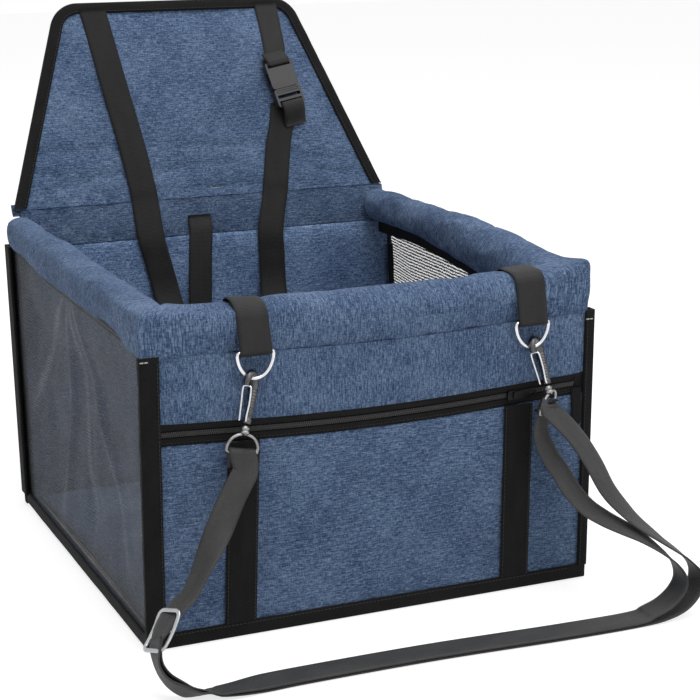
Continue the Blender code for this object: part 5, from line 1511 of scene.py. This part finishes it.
CREASES = ((-0.150, 0.018, 0.052, 0.10), (-0.030, 0.030, 0.120, 0.05), (0.140, 0.018, 0.050, -0.22),
           (0.120, 0.034, 0.060, -0.10), (-0.120, 0.055, 0.060, 0.04), (0.020, 0.010, 0.110, 0.02),
           (-0.165, 0.036, 0.030, -0.25), (0.030, 0.052, 0.080, -0.03))


def crease_depth(u, v):
    """Shallow creases low on the flap: each is (middle u, height, half length, slope)."""
    depth = 0.0
    for cu, cv, half, slope in CREASES:
        along = (u - cu) / half
        off = v - cv - slope * (u - cu) - 0.004 * along * along
        depth += math.exp(-(along**2) * 2) * math.exp(-((off / 0.0035) ** 2))
    return depth


FOLD_ROW = 0.0005


def flap():
    half_line = flap_half_line(BIND_T + GAP)
    half_line.insert(1, (half_line[0][0] - FLAP_TAPER * FOLD_ROW, FOLD_ROW))
    cols = 84
    front, back, uv = [], [], []
    for half, v in half_line:
        f_row, b_row, u_row = [], [], []
        for j in range(cols):
            share = 2 * j / (cols - 1) - 1
            u = FLAP_SHIFT + half * share
            swell = flap_swell(u, v)
            p = Vector((u, v, 0))
            lift = CROWN * swell + swell * (0.0007 * rough(p, 0.05, 17.0) + 0.0003 * rough(p, 0.016, 18.0))
            lift -= 0.0021 * crease_depth(u, v) * min(1, swell + 0.2 + v / 0.02)
            f_row.append(on_flap(u, v, lift))
            b_row.append(on_flap(u, relieved(v), -SEAM_T - (FLAP_T - SEAM_T) * swell - 0.0005 * swell * rough(p, 0.06, 19.0)))
            u_row.append((u, v))
        front.append(f_row)
        back.append(b_row)
        uv.append(u_row)
    made = shell("flap_cloth", front, back, uv, CANVAS)
    soften(made, border_of(len(half_line), cols, 3), 0.12, 0.012, 0.0008)
    place(made, "flap", "blue_canvas", "flap_cover")


flap()


def binding():
    """Ribbed tape folded over the flap's edge, all the way from fold line to fold line."""
    top = GAP + BIND_T
    bottom = -SEAM_T - GAP - BIND_T
    reach = BIND_W
    profile = [(reach, top - BIND_T), (reach, top - 0.0002), (reach * 0.75, top), (reach * 0.5, top + 0.0002),
               (reach * 0.25, top + 0.0001), (0.0012, top - 0.0004), (0.0002, top - 0.0016),
               (0.0, top - 0.0035), (0.0002, bottom + 0.0016), (0.0012, bottom + 0.0004),
               (reach * 0.25, bottom), (reach * 0.5, bottom - 0.0001), (reach * 0.75, bottom),
               (reach, bottom + 0.0002), (reach, bottom + BIND_T), (BIND_T, bottom + BIND_T), (BIND_T, top - BIND_T)]
    mid = -SEAM_T / 2
    lines = []
    for inset, _ in profile:
        right = flap_half_line(inset, 60, 18)
        lines.append([(FLAP_SHIFT + u, v) for u, v in right] + [(FLAP_SHIFT - u, v) for u, v in reversed(right)])
    rows, uvs = [], []
    run = 0.0
    arounds = [0.0]
    for (a, b), (c, d) in zip(profile, profile[1:] + profile[:1]):
        arounds.append(arounds[-1] + math.hypot(c - a, d - b))
    for k in range(len(lines[0])):
        row = []
        if k:
            a, b = lines[7][k - 1], lines[7][k]
            run += math.hypot(b[0] - a[0], b[1] - a[1])
        for n, (line, (inset, w)) in enumerate(zip(lines, profile)):
            u, v = line[k]
            p = Vector((u, v, w))
            wave = 0.0004 * rough(p, 0.014, 21.0) if n < 13 else 0.0
            high = max(v, BIND_T) if w > mid else relieved(v)
            row.append(on_flap(u, high, w + (wave if w > mid else -wave)))
        rows.append(row)
        uvs.append([(around, run) for around in arounds])
    shape = Shape()
    start = shape.grid(rows, uvs, wrap=True)
    count = len(profile)
    last = start + (len(rows) - 1) * count
    for first, flip in ((start, False), (last, True)):
        for cap in ((0, 1, 2, 3, 4, 5, 6, 16), (6, 7, 8, 15, 16), (8, 9, 10, 11, 12, 13, 14, 15)):
            corners = [first + c for c in cap]
            shape.face(corners[::-1] if flip else corners, [(0, 0)] * len(cap))
    made = outward(shape).build("flap_binding_tape", TAPE)
    place(made, "flap", "black_tape", "flap_binding")


binding()


def fold_web():
    """The cloth that carries the flap behind the fold line, from the band's back to the flap's back."""
    low_y = BACK_TOP_Y - BACK_T + SEAM_T
    start = Vector((0, low_y + (CREASE_Y - low_y + SEAM_T) * 0.80, CREASE_LOW_Z + (CREASE_Z - CREASE_LOW_Z) * 0.84))
    end = on_flap(0, relieved(0) + 0.004, -SEAM_T - 0.0010)
    mid = (start + end) / 2 + Vector((0, 0.0010, 0))
    line = curve([start, mid, end], 0.0015)
    xs = spread(-HALF_X + 0.003, HALF_X - 0.003, 60)
    rows = [[p + Vector((x, 0, 0)) for x in xs] for p in line]
    inner = [[p + Vector((x, -0.0008, 0)) for x in xs] for p in line]
    uv = [[(x, length) for x in xs] for length in lengths_of(line)]
    made = shell("fold_web_cloth", rows, inner, uv, CANVAS)
    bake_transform(made)


fold_web()


# Straps of the backrest
def flap_face(u, v):
    return CROWN * flap_swell(u, v)


def lying(u, v, width, lift=0.0):
    high = max(flap_face(u - width / 2, v), flap_face(u, v), flap_face(u + width / 2, v))
    return on_flap(u, v, high + 4 * GAP + WEB_T / 2 + lift)


def on_back(x, z, off=0.0):
    return Vector((x, back_front_y(z) - CROWN - 4 * GAP - WEB_T / 2 - off, z))


STRAP_TOP_V = FLAP_H - BIND_W + 0.004
LEFT_STRAP = ((-0.0861, STRAP_TOP_V), (-0.0762, 0.1230), (-0.0665, 0.0540), (-0.0622, 0.0120))
RIGHT_STRAP = ((0.1000, 0.0920), (0.0950, 0.0700), (0.0880, 0.0500), (0.0790, 0.0120))
SHORT_STRAP = ((0.0980, STRAP_TOP_V), (0.1000, 0.1480))
FOLD_LIFT = 4 * GAP + WEB_T / 2
LEFT_FOLD_X = -0.0615
RIGHT_FOLD_X = 0.0765
LEFT_STOPS = ((-0.0605, 0.2500, 0.0006), (-0.0550, 0.2250, 0.0016), (-0.0490, 0.1950, 0.0050))
RIGHT_STOPS = ((0.0655, 0.2500, 0.0006), (0.0650, 0.2250, 0.0016), (0.0640, 0.1950, 0.0050))
LOOP_LEFT_X = -0.0450
LOOP_RIGHT_X = 0.0575
LOOP_TURN_Z = 0.1050
LOOP_Y = 0.1600
LOOP_BULGE = 0.0040


def long_strap():
    """One strap down the flap's left, round in a hanging loop in the box, and up to the buckle."""
    left_fold = on_flap(LEFT_FOLD_X, 0, FOLD_LIFT)
    right_fold = on_flap(RIGHT_FOLD_X, 0, FOLD_LIFT)
    radius = (LOOP_RIGHT_X - LOOP_LEFT_X) / 2
    middle = (LOOP_RIGHT_X + LOOP_LEFT_X) / 2
    half_z = (LEFT_STOPS[-1][1] + LOOP_TURN_Z) / 2
    points = [lying(u, v, WEB_W) for u, v in LEFT_STRAP] + [left_fold]
    points += [on_back(*stop) for stop in LEFT_STOPS]
    points.append(Vector((LOOP_LEFT_X, LOOP_Y + LOOP_BULGE, half_z)))
    for k in range(7):
        angle = math.pi + math.pi * k / 6
        points.append(Vector((middle + radius * math.cos(angle), LOOP_Y, LOOP_TURN_Z + radius * math.sin(angle))))
    points.append(Vector((LOOP_RIGHT_X, LOOP_Y + LOOP_BULGE, half_z)))
    points += [on_back(*stop) for stop in reversed(RIGHT_STOPS)]
    points.append(right_fold)
    points += [lying(u, v, BUCKLE_WEB_W) for u, v in reversed(RIGHT_STRAP)]
    path = curve(points, 0.005)
    lengths = lengths_of(path)
    total = lengths[-1]
    low = min(range(len(path)), key=lambda k: path[k].z)
    mid = lengths[low] / total
    reach = math.pi * radius / total
    flat = (1, 0, 0)
    stops = [(0, flat), (mid - reach * 0.9, flat), (mid - reach * 0.35, (0, 1, 0)), (mid + reach * 0.35, (0, 1, 0)),
             (mid + reach * 0.9, (-1, 0, 0)), (1, (-1, 0, 0))]
    sides = turned_sides(stops, path)
    # The strap's webbing is painted darker, as painted shade.
    made = ribbon("long_strap_woven", path, sides, WEB_W + 0.0004, WEB_T, STRAP_WEB_PAINTED_SHADE, level=True)
    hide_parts("flap_left_strap", "strap_loop", "flap_right_strap")
    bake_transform(made)


def tether():
    low_y = BACK_TOP_Y - BACK_T
    along = Vector((0, CREASE_Y - low_y, CREASE_Z - CREASE_LOW_Z))
    out = Vector((0, -along.z, along.y)).normalized()
    top_x, low_x = -0.0080, -0.0205
    start = Vector((top_x, low_y, CREASE_LOW_Z))
    lift = CROWN + 3 * GAP + WEB_T / 2
    points = [start + along * share + out * lift for share in (0.52, 0.32, 0.10)]
    points += [on_back(top_x + (low_x - top_x) * share, z) for share, z in ((0.2, 0.23), (0.5, 0.16), (1, 0.03))]
    path = curve(points, 0.006)
    made = ribbon("tether_woven", path, [Vector((1, 0, 0))] * len(path), 0.0240, WEB_T, WEBBING)
    place(made, "seat", "black_webbing", "tether_strap")


long_strap()
tether()

# Buckle and its webbing
BUCKLE_U = 0.1000
BUCKLE_V = 0.1180
BUCKLE_TILT = math.radians(11)
BUCKLE_HALF_T = 0.0042
BUCKLE_W0 = 0.0024 + CROWN + WEB_T + BUCKLE_HALF_T
FEMALE_A0 = -0.0160
MALE_A1 = 0.0320
BAR_W = 0.0028
BUCKLE_B = FLAP_V * math.sin(BUCKLE_TILT) + Vector((math.cos(BUCKLE_TILT), 0, 0))


def in_buckle(a, b, c):
    u = BUCKLE_U + a * math.sin(BUCKLE_TILT) + b * math.cos(BUCKLE_TILT)
    v = BUCKLE_V - a * math.cos(BUCKLE_TILT) + b * math.sin(BUCKLE_TILT)
    return on_flap(u, v, BUCKLE_W0 + c)


def buckle():
    turn = WEB_T / 2 + 2 * GAP
    deep = BUCKLE_HALF_T + turn
    soft = turn * math.sqrt(0.5)
    bar_0 = FEMALE_A0
    bar_1 = FEMALE_A0 + BAR_W
    points = [lying(u, v, BUCKLE_WEB_W) for u, v in SHORT_STRAP]
    places = (
        (bar_0 - 2 * BAR_W, -deep), (bar_0, -deep), (bar_1, -deep),
        (bar_1 + soft, -BUCKLE_HALF_T - soft), (bar_1 + turn, -BUCKLE_HALF_T),
        (bar_1 + turn, 0), (bar_1 + turn, BUCKLE_HALF_T), (bar_1 + soft, BUCKLE_HALF_T + soft),
        (bar_1, deep), (bar_0, deep), (bar_0 - soft, BUCKLE_HALF_T + soft),
        (bar_0 - 2 * BAR_W, BUCKLE_HALF_T / 2), (bar_0 - 4 * BAR_W, -BUCKLE_HALF_T / 2),
    )
    points += [in_buckle(a, 0, c) for a, c in places]
    path = curve(points, 0.004)
    sides = turned_sides([(0, (1, 0, 0)), (0.3, BUCKLE_B), (1, BUCKLE_B)], path)
    made = ribbon("short_strap_woven", path, sides, BUCKLE_WEB_W, WEB_T, WEBBING, level=True)
    place(made, "flap", "black_webbing", "buckle_short_strap")
    end_0 = MALE_A1 - BAR_W
    end_1 = MALE_A1
    places = (
        (end_0 - turn, -BUCKLE_HALF_T / 2), (end_0 - turn, BUCKLE_HALF_T),
        (end_0 - soft, BUCKLE_HALF_T + soft), (end_0, deep), (end_1, deep + GAP),
        (end_1 + 2 * BAR_W, BUCKLE_HALF_T), (end_1 + 4 * BAR_W, 0),
        (end_1 + 5.6 * BAR_W, -BUCKLE_HALF_T * 0.8), (end_1 + 7 * BAR_W, -BUCKLE_HALF_T),
    )
    path = curve([in_buckle(a, 0, c) for a, c in places], 0.003)
    made = ribbon("buckle_loop_woven", path, [BUCKLE_B] * len(path), BUCKLE_WEB_W, WEB_T, WEBBING)
    place(made, "buckle_tongue", "black_webbing", "buckle_loop")
    for name in ("buckle_female", "buckle_male"):
        dress(name, PLASTIC, 0.0004)
    for name in ("buckle_left_prong", "buckle_right_prong"):
        dress(name, PLASTIC, smooth=True)


buckle()


# Ring loops, rings and swivel snaps
LOOP_WRAP = ((124, 0.0034), (112, 0.0012), (98, 0.0001), (84, 0.0), (70, 0.0), (50, 0.0), (32, 0.0), (14, 0.0))


def ring_loop(name, x, bar_z):
    z_axis = rim_z(x)
    lift = RIM_R - LOOP_NIP + 2 * GAP + WEB_T / 2
    bar = Vector((x, RING_Y, bar_z))
    turn = 0.0016 + 1.5 * GAP + WEB_T / 2
    square = 1 - smooth_step((RIM_HALF - abs(x) - WEB_W / 2) / (3 * RIM_R))
    points = []
    for degrees, sunk in LOOP_WRAP:
        angle = math.radians(degrees)
        reach = lift - sunk
        a = math.cos(angle)
        s = math.sin(angle)
        power = ROUND_TOP if s > 0 else ROUND_LOW
        power += (4.6 - power) * square
        points.append(Vector((
            x, -RIM_HALF - reach * math.copysign(abs(a) ** (2 / power), a),
            z_axis + reach * math.copysign(abs(s) ** (2 / power), s),
        )))
    for degrees in (10, -20, -50, -80, -110, -140, -165):
        angle = math.radians(degrees)
        points.append(bar + Vector((0, -turn * math.cos(angle), turn * math.sin(angle))))
    path = curve(points, 0.003)
    slope = (rim_z(x + WEB_W / 2) - rim_z(x - WEB_W / 2)) / WEB_W
    sides = turned_sides([(0, (1, 0, slope)), (0.6, (1, 0, slope)), (0.8, (1, 0, 0)), (1, (1, 0, 0))], path)
    made = ribbon(name + "_ring_loop_woven", path, sides, WEB_W, WEB_T, WEBBING)
    place(made, "seat", "black_webbing", name + "_ring_loop")


RING_HALF = 0.0155
RING_DROP = 0.0216
RING_WIRE_R = 0.0016
EYE_HALF = 0.0134
BARREL_R = 0.0038
HOOK_R = 0.0025
HOOK_LINE = (
    (0.0004, 0.0046), (0.0020, 0.0095), (0.0040, 0.0160), (0.0050, 0.0235), (0.0051, 0.0310),
    (0.0048, 0.0373), (0.0032, 0.0421), (-0.0003, 0.0445), (-0.0040, 0.0432), (-0.0064, 0.0397),
    (-0.0071, 0.0355),
)
HOOK_SHARES = (1.35, 1.45, 1.45, 1.42, 1.45, 1.52, 1.50, 1.42, 1.30, 1.10, 0.75)
GATE_S = -0.0052
GATE_LOW_T = 0.0085
GATE_HIGH_T = 0.0348
GATE_HALF = 0.0036
GATE_FOOT_HALF = 0.0030
GATE_WIRE_R = 0.0008


def d_ring(name, x, bar_z):
    corner = RING_WIRE_R * 1.6
    flat = [(-RING_HALF + corner, 0)] + [(s * (RING_HALF - corner), 0) for s in (-0.5, 0, 0.5, 1)]
    flat.append((RING_HALF - corner * 0.3, -corner * 0.3))
    for k in range(29):
        angle = math.radians(-8 - 164 * k / 28)
        flat.append((RING_HALF * math.cos(angle), RING_DROP * math.sin(angle)))
    flat.append((-RING_HALF + corner * 0.3, -corner * 0.3))
    points = [Vector((x + a, RING_Y, bar_z + b)) for a, b in flat]
    made = tube(name + "_ring_wire", points, RING_WIRE_R, CHROME, closed=True, sides=16)
    place(made, name + "_ring", "bright_steel", name + "_d_ring")


def snap_hook(name, axes):
    fine = smooth_path([axes.at(s, t) for s, t in HOOK_LINE], 90)
    radii = []
    for k in range(len(fine)):
        share = k / (len(fine) - 1) * (len(HOOK_SHARES) - 1)
        low = min(int(share), len(HOOK_SHARES) - 2)
        scale = HOOK_SHARES[low] + (HOOK_SHARES[low + 1] - HOOK_SHARES[low]) * (share - low)
        along = k / (len(fine) - 1)
        ridge = 0.30 * (0.5 + 0.5 * math.cos(along * 2 * math.pi * 22)) * smooth_step((0.50 - abs(along - 0.26)) / 0.3)
        radii.append(HOOK_R * scale * (1 - ridge * (0.06 < along < 0.52)))
    made = tube(name + "_hook_body", fine, radii, GUNMETAL, sides=20, normal=axes.across, squeeze=1.08)
    place(made, name + "_snap", "dark_hook_metal", name + "_snap_hook")


def snap_gate(name, axes):
    line = [(GATE_S - GATE_FOOT_HALF / 3, GATE_LOW_T - GATE_FOOT_HALF / 2, -GATE_FOOT_HALF)]
    line.append((GATE_S - GATE_FOOT_HALF / 3, GATE_LOW_T + GATE_FOOT_HALF, -GATE_FOOT_HALF))
    line.append((GATE_S, (GATE_LOW_T + GATE_HIGH_T) / 2, -GATE_HALF))
    line.append((GATE_S, GATE_HIGH_T - GATE_HALF / 2, -GATE_HALF))
    line.append((GATE_S, GATE_HIGH_T, -GATE_HALF / 2))
    line += [(s, t, -n) for s, t, n in reversed(line)]
    path = smooth_path([axes.at(*p) for p in line], 70)
    made = tube(name + "_gate_wire", path, GATE_WIRE_R, CHROME, sides=12, normal=axes.spine)
    place(made, name + "_gate", "bright_steel", name + "_snap_gate")


def swivel(name, axes, bar):
    """The turned barrel with its collars, and the D-shaped eye under it."""
    shape = Shape()
    rows = []
    profile = ((-1.0, 0.55), (-0.92, 0.80), (-0.62, 0.84), (-0.55, 1.0), (-0.15, 1.0), (-0.05, 0.78),
               (0.15, 0.78), (0.25, 0.96), (0.62, 0.96), (0.70, 0.74), (0.94, 0.70), (1.0, 0.45))
    middle = (BARREL_LOW + BARREL_HIGH) / 2
    half = (BARREL_HIGH - BARREL_LOW) / 2
    sides = 24
    for share, scale in profile:
        r = BARREL_R * scale
        rows.append([
            axes.at(r * math.cos(2 * math.pi * k / sides), middle + half * share, r * math.sin(2 * math.pi * k / sides))
            for k in range(sides)
        ])
    uvs = [[(k * 0.001, n * 0.001) for k in range(sides + 1)] for n in range(len(rows))]
    start = shape.grid(rows, uvs, wrap=True)
    shape.face([start + k for k in reversed(range(sides))], [(0, 0)] * sides)
    shape.face([start + (len(rows) - 1) * sides + k for k in range(sides)], [(0, 0)] * sides)
    barrel = outward(shape).build(name + "_swivel_barrel", NICKEL)
    top = axes.at(0, BARREL_LOW * EYE_TOP_SHARE)
    bar = Vector(bar)
    down = (bar - top).normalized()
    wide = bar_way(name)
    drop = (bar - top).length
    corner = EYE_WIRE_R * 1.5
    path = [bar + wide * (s * (EYE_HALF - corner)) for s in (-1, -0.5, 0, 0.5, 1)]
    path.append(bar + wide * (EYE_HALF - corner * 0.3) - down * (corner * 0.3))
    for k in range(29):
        angle = math.pi * (0.06 + 0.88 * k / 28)
        path.append(bar + wide * (EYE_HALF * math.cos(angle)) - down * (drop * math.sin(angle) ** 0.8))
    path.append(bar - wide * (EYE_HALF - corner * 0.3) - down * (corner * 0.3))
    eye = tube(name + "_eye_wire", path, EYE_WIRE_R, NICKEL, closed=True, sides=14, normal=down.cross(wide).normalized())
    place(barrel, name + "_ring", "bright_steel", name + "_swivel_eye")
    place(eye, name + "_ring", "bright_steel")


for name, axes, bar in (("left", LEFT_AXES, LEFT_BAR), ("right", RIGHT_AXES, RIGHT_BAR)):
    ring_loop(name, *RINGS[name])
    d_ring(name, *RINGS[name])
    snap_hook(name, axes)
    snap_gate(name, axes)
    swivel(name, axes, bar)


# Stitching
def stitches(name, path, way, material, body, pitch=0.0034, gauge=0.00034, fill=0.72):
    """A row of short threads along a path, each a small capsule proud of the cloth by half its gauge."""
    lengths = lengths_of(path)
    count = max(2, int(lengths[-1] / pitch))
    dots = even(path, count * 4 + 1)
    shape = Shape()
    way = Vector(way).normalized()
    for k in range(count):
        a = dots[4 * k]
        b = dots[4 * k + 3]
        t = (b - a).normalized()
        b = a + t * (pitch * fill)
        side = way.cross(t).normalized()
        rows = []
        for share, r, sink in ((0, 0.35, -0.5), (0.15, 0.9, 0.1), (0.5, 1.0, 0.3), (0.85, 0.9, 0.1), (1, 0.35, -0.5)):
            p = a.lerp(b, share) + way * (gauge * sink)
            rows.append([p + side * (gauge * r * math.cos(math.pi * j / 3)) + way * (gauge * r * math.sin(math.pi * j / 3))
                         for j in range(6)])
        base = shape.grid(rows, [[(0, 0)] * 7] * 5, wrap=True)
        shape.face([base + j for j in reversed(range(6))], [(0, 0)] * 6)
        shape.face([base + 24 + j for j in range(6)], [(0, 0)] * 6)
    made = outward(shape).build(name, material)
    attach(made, body)
    return made


FACE = (0, -1, 0)


def seams():
    for name, path in BAND_PATHS.items():
        for side, word in ((-1, "left"), (1, "right")):
            line = [p + Vector((side * (WEB_W / 2 - 0.0018), -WEB_T / 2, 0)) for p in path]
            stitches(f"{name}_{word}_stitches", line, FACE, BLACK_THREAD, "seat")
    xs = spread(-0.184, 0.184, 50)
    for word, offset in (("upper", ZIP_UP - 0.0010), ("lower", -ZIP_W / 2 + 0.0022)):
        line = [Vector((x, FRONT_Y - 0.0002, zip_mid(x) + offset)) for x in xs]
        stitches(f"zipper_{word}_stitches", line, FACE, BLACK_THREAD, "seat")
    line = [Vector((x, TAPE_OUT_Y - 0.0003, FOOT_Z + TAPE_W - 0.0016)) for x in xs]
    stitches("front_hem_stitches", line, FACE, BLACK_THREAD, "seat")
    for side, word in ((-1, "left"), (1, "right")):
        edge = TAPE_OUT_X + FRONT_CORNER_OUT[side] - FRONT_CORNER_LEGS[side][0] + 0.0016
        zs = spread(0.015, CORNER_TOP_Z - 0.004, 30)
        line = [Vector((side * edge, TAPE_OUT_Y - 0.0003, z)) for z in zs]
        stitches(f"{word}_corner_stitches", line, FACE, BLACK_THREAD, "seat")
        z = CORNER_TOP_Z - (0.0030 if side < 0 else 0.0075)
        tack = [Vector((side * (TAPE_OUT_X + 0.0001 - d), TAPE_OUT_Y - 0.0006, z)) for d in (0.0006, 0.0075)]
        stitches(f"{word}_corner_tack", tack, FACE, PALE_THREAD, "seat", 0.0034, 0.0006, 0.98)
    right = flap_half_line(BIND_W - 0.0018, 50, 16)
    outline = [(FLAP_SHIFT + u, v) for u, v in right] + [(FLAP_SHIFT - u, v) for u, v in reversed(right)]
    line = [on_flap(u, max(v, 0.003), GAP + BIND_T + 0.0002) for u, v in outline]
    stitches("flap_binding_stitches", line, FLAP_W, BLACK_THREAD, "flap")


seams()

# Carried-over nodes
for name in ("zipper_slider", "zipper_pull"):
    dress(name, BLACKENED, 0.00035)
for name in ("base_board", "back_board", "flap_board"):
    dress(name, BOARD, 0.0004)
dress("front_rim_tube", PIPE, smooth=True)
for side, name in ((-1, "left"), (1, "right")):
    side_tube(side, name + "_rim_tube")


TAB_X = 0.1872
TAB_HALF = 0.0048


def end_tab():
    """The folded tab under the zipper's right end, bare of any label."""
    top = zip_mid(TAB_X) - 0.004
    points = [(TAB_X, FRONT_Y - 0.0012, top), (TAB_X, FRONT_Y - 0.0024, top - 0.010), (TAB_X, FRONT_Y - 0.0034, top - 0.022),
              (TAB_X, FRONT_Y - 0.0030, top - 0.032)]
    path = curve(points, 0.002)
    made = ribbon("zipper_end_tab", path, [Vector((1, 0, 0))] * len(path), 2 * TAB_HALF, 0.0012, TAPE)
    place(made, "seat", "black_tape")


end_tab()

run_cloth()


def finish_mesh(names, levels=1):
    """One subdivision on the pieces that are seen from close by."""
    for name in names:
        obj = bpy.data.objects[name]
        step = obj.modifiers.new("finer", "SUBSURF")
        step.levels = levels
        step.render_levels = levels


finish_mesh(["flap_cloth", "rim_sleeve_cloth", "pocket_panel_cloth", "upper_panel_cloth"])


# Stage
def seen_directly(tree):
    """1 for what the camera sees itself, in a mirror or through a clear piece, and 0 for stray light."""
    path = tree.nodes.new("ShaderNodeLightPath")
    seen = maths(tree, "MAXIMUM", path.outputs["Is Camera Ray"], path.outputs["Is Glossy Ray"])
    return maths(tree, "MAXIMUM", seen, path.outputs["Is Transmission Ray"])


def stage():
    mesh = bpy.data.meshes.new("floor")
    reach = 6.0
    mesh.from_pydata([(-reach, -reach, -0.0004), (reach, -reach, -0.0004), (reach, reach, -0.0004), (-reach, reach, -0.0004)],
                     [], [(0, 1, 2, 3)])
    floor = bpy.data.objects.new("floor", mesh)
    bpy.context.scene.collection.objects.link(floor)
    made, tree, shader = shader_of("pale_floor", 0.9)
    seen = seen_directly(tree)
    tree.links.new(maths(tree, "SUBTRACT", 0.90, maths(tree, "MULTIPLY", seen, 0.42)), shader.inputs["Base Color"])
    shader.inputs["Emission Color"].default_value = (1, 1, 1, 1)
    tree.links.new(maths(tree, "MULTIPLY", seen, 0.74), shader.inputs["Emission Strength"])
    shader.inputs["Specular IOR Level"].default_value = 0
    floor.data.materials.append(made)
    world = bpy.data.worlds.new("studio")
    bpy.context.scene.world = world
    world.use_nodes = True
    tree = world.node_tree
    tree.nodes.clear()
    seen = seen_directly(tree)
    plain = node(tree, "ShaderNodeBackground", Color=(1, 1, 1, 1), Strength=0.45)
    white = node(tree, "ShaderNodeBackground", Color=(1, 1, 1, 1), Strength=1.0)
    mix = tree.nodes.new("ShaderNodeMixShader")
    out = tree.nodes.new("ShaderNodeOutputWorld")
    tree.links.new(seen, mix.inputs[0])
    tree.links.new(plain.outputs[0], mix.inputs[1])
    tree.links.new(white.outputs[0], mix.inputs[2])
    tree.links.new(mix.outputs[0], out.inputs["Surface"])
    for name, at, size, power in (
        ("key_light", (0.3, -1.9, 2.4), 1.8, 19), ("fill_light", (1.9, -1.4, 1.5), 1.8, 6),
        ("top_light", (0.2, -0.1, 2.5), 1.8, 36),
    ):
        data = bpy.data.lights.new(name, "AREA")
        data.size = size
        data.energy = power
        lamp = bpy.data.objects.new(name, data)
        lamp.location = at
        lamp.rotation_euler = (Vector((0, 0, 0.2)) - Vector(at)).to_track_quat("-Z", "Y").to_euler()
        bpy.context.scene.collection.objects.link(lamp)
    bpy.context.scene.view_settings.view_transform = "Standard"


stage()
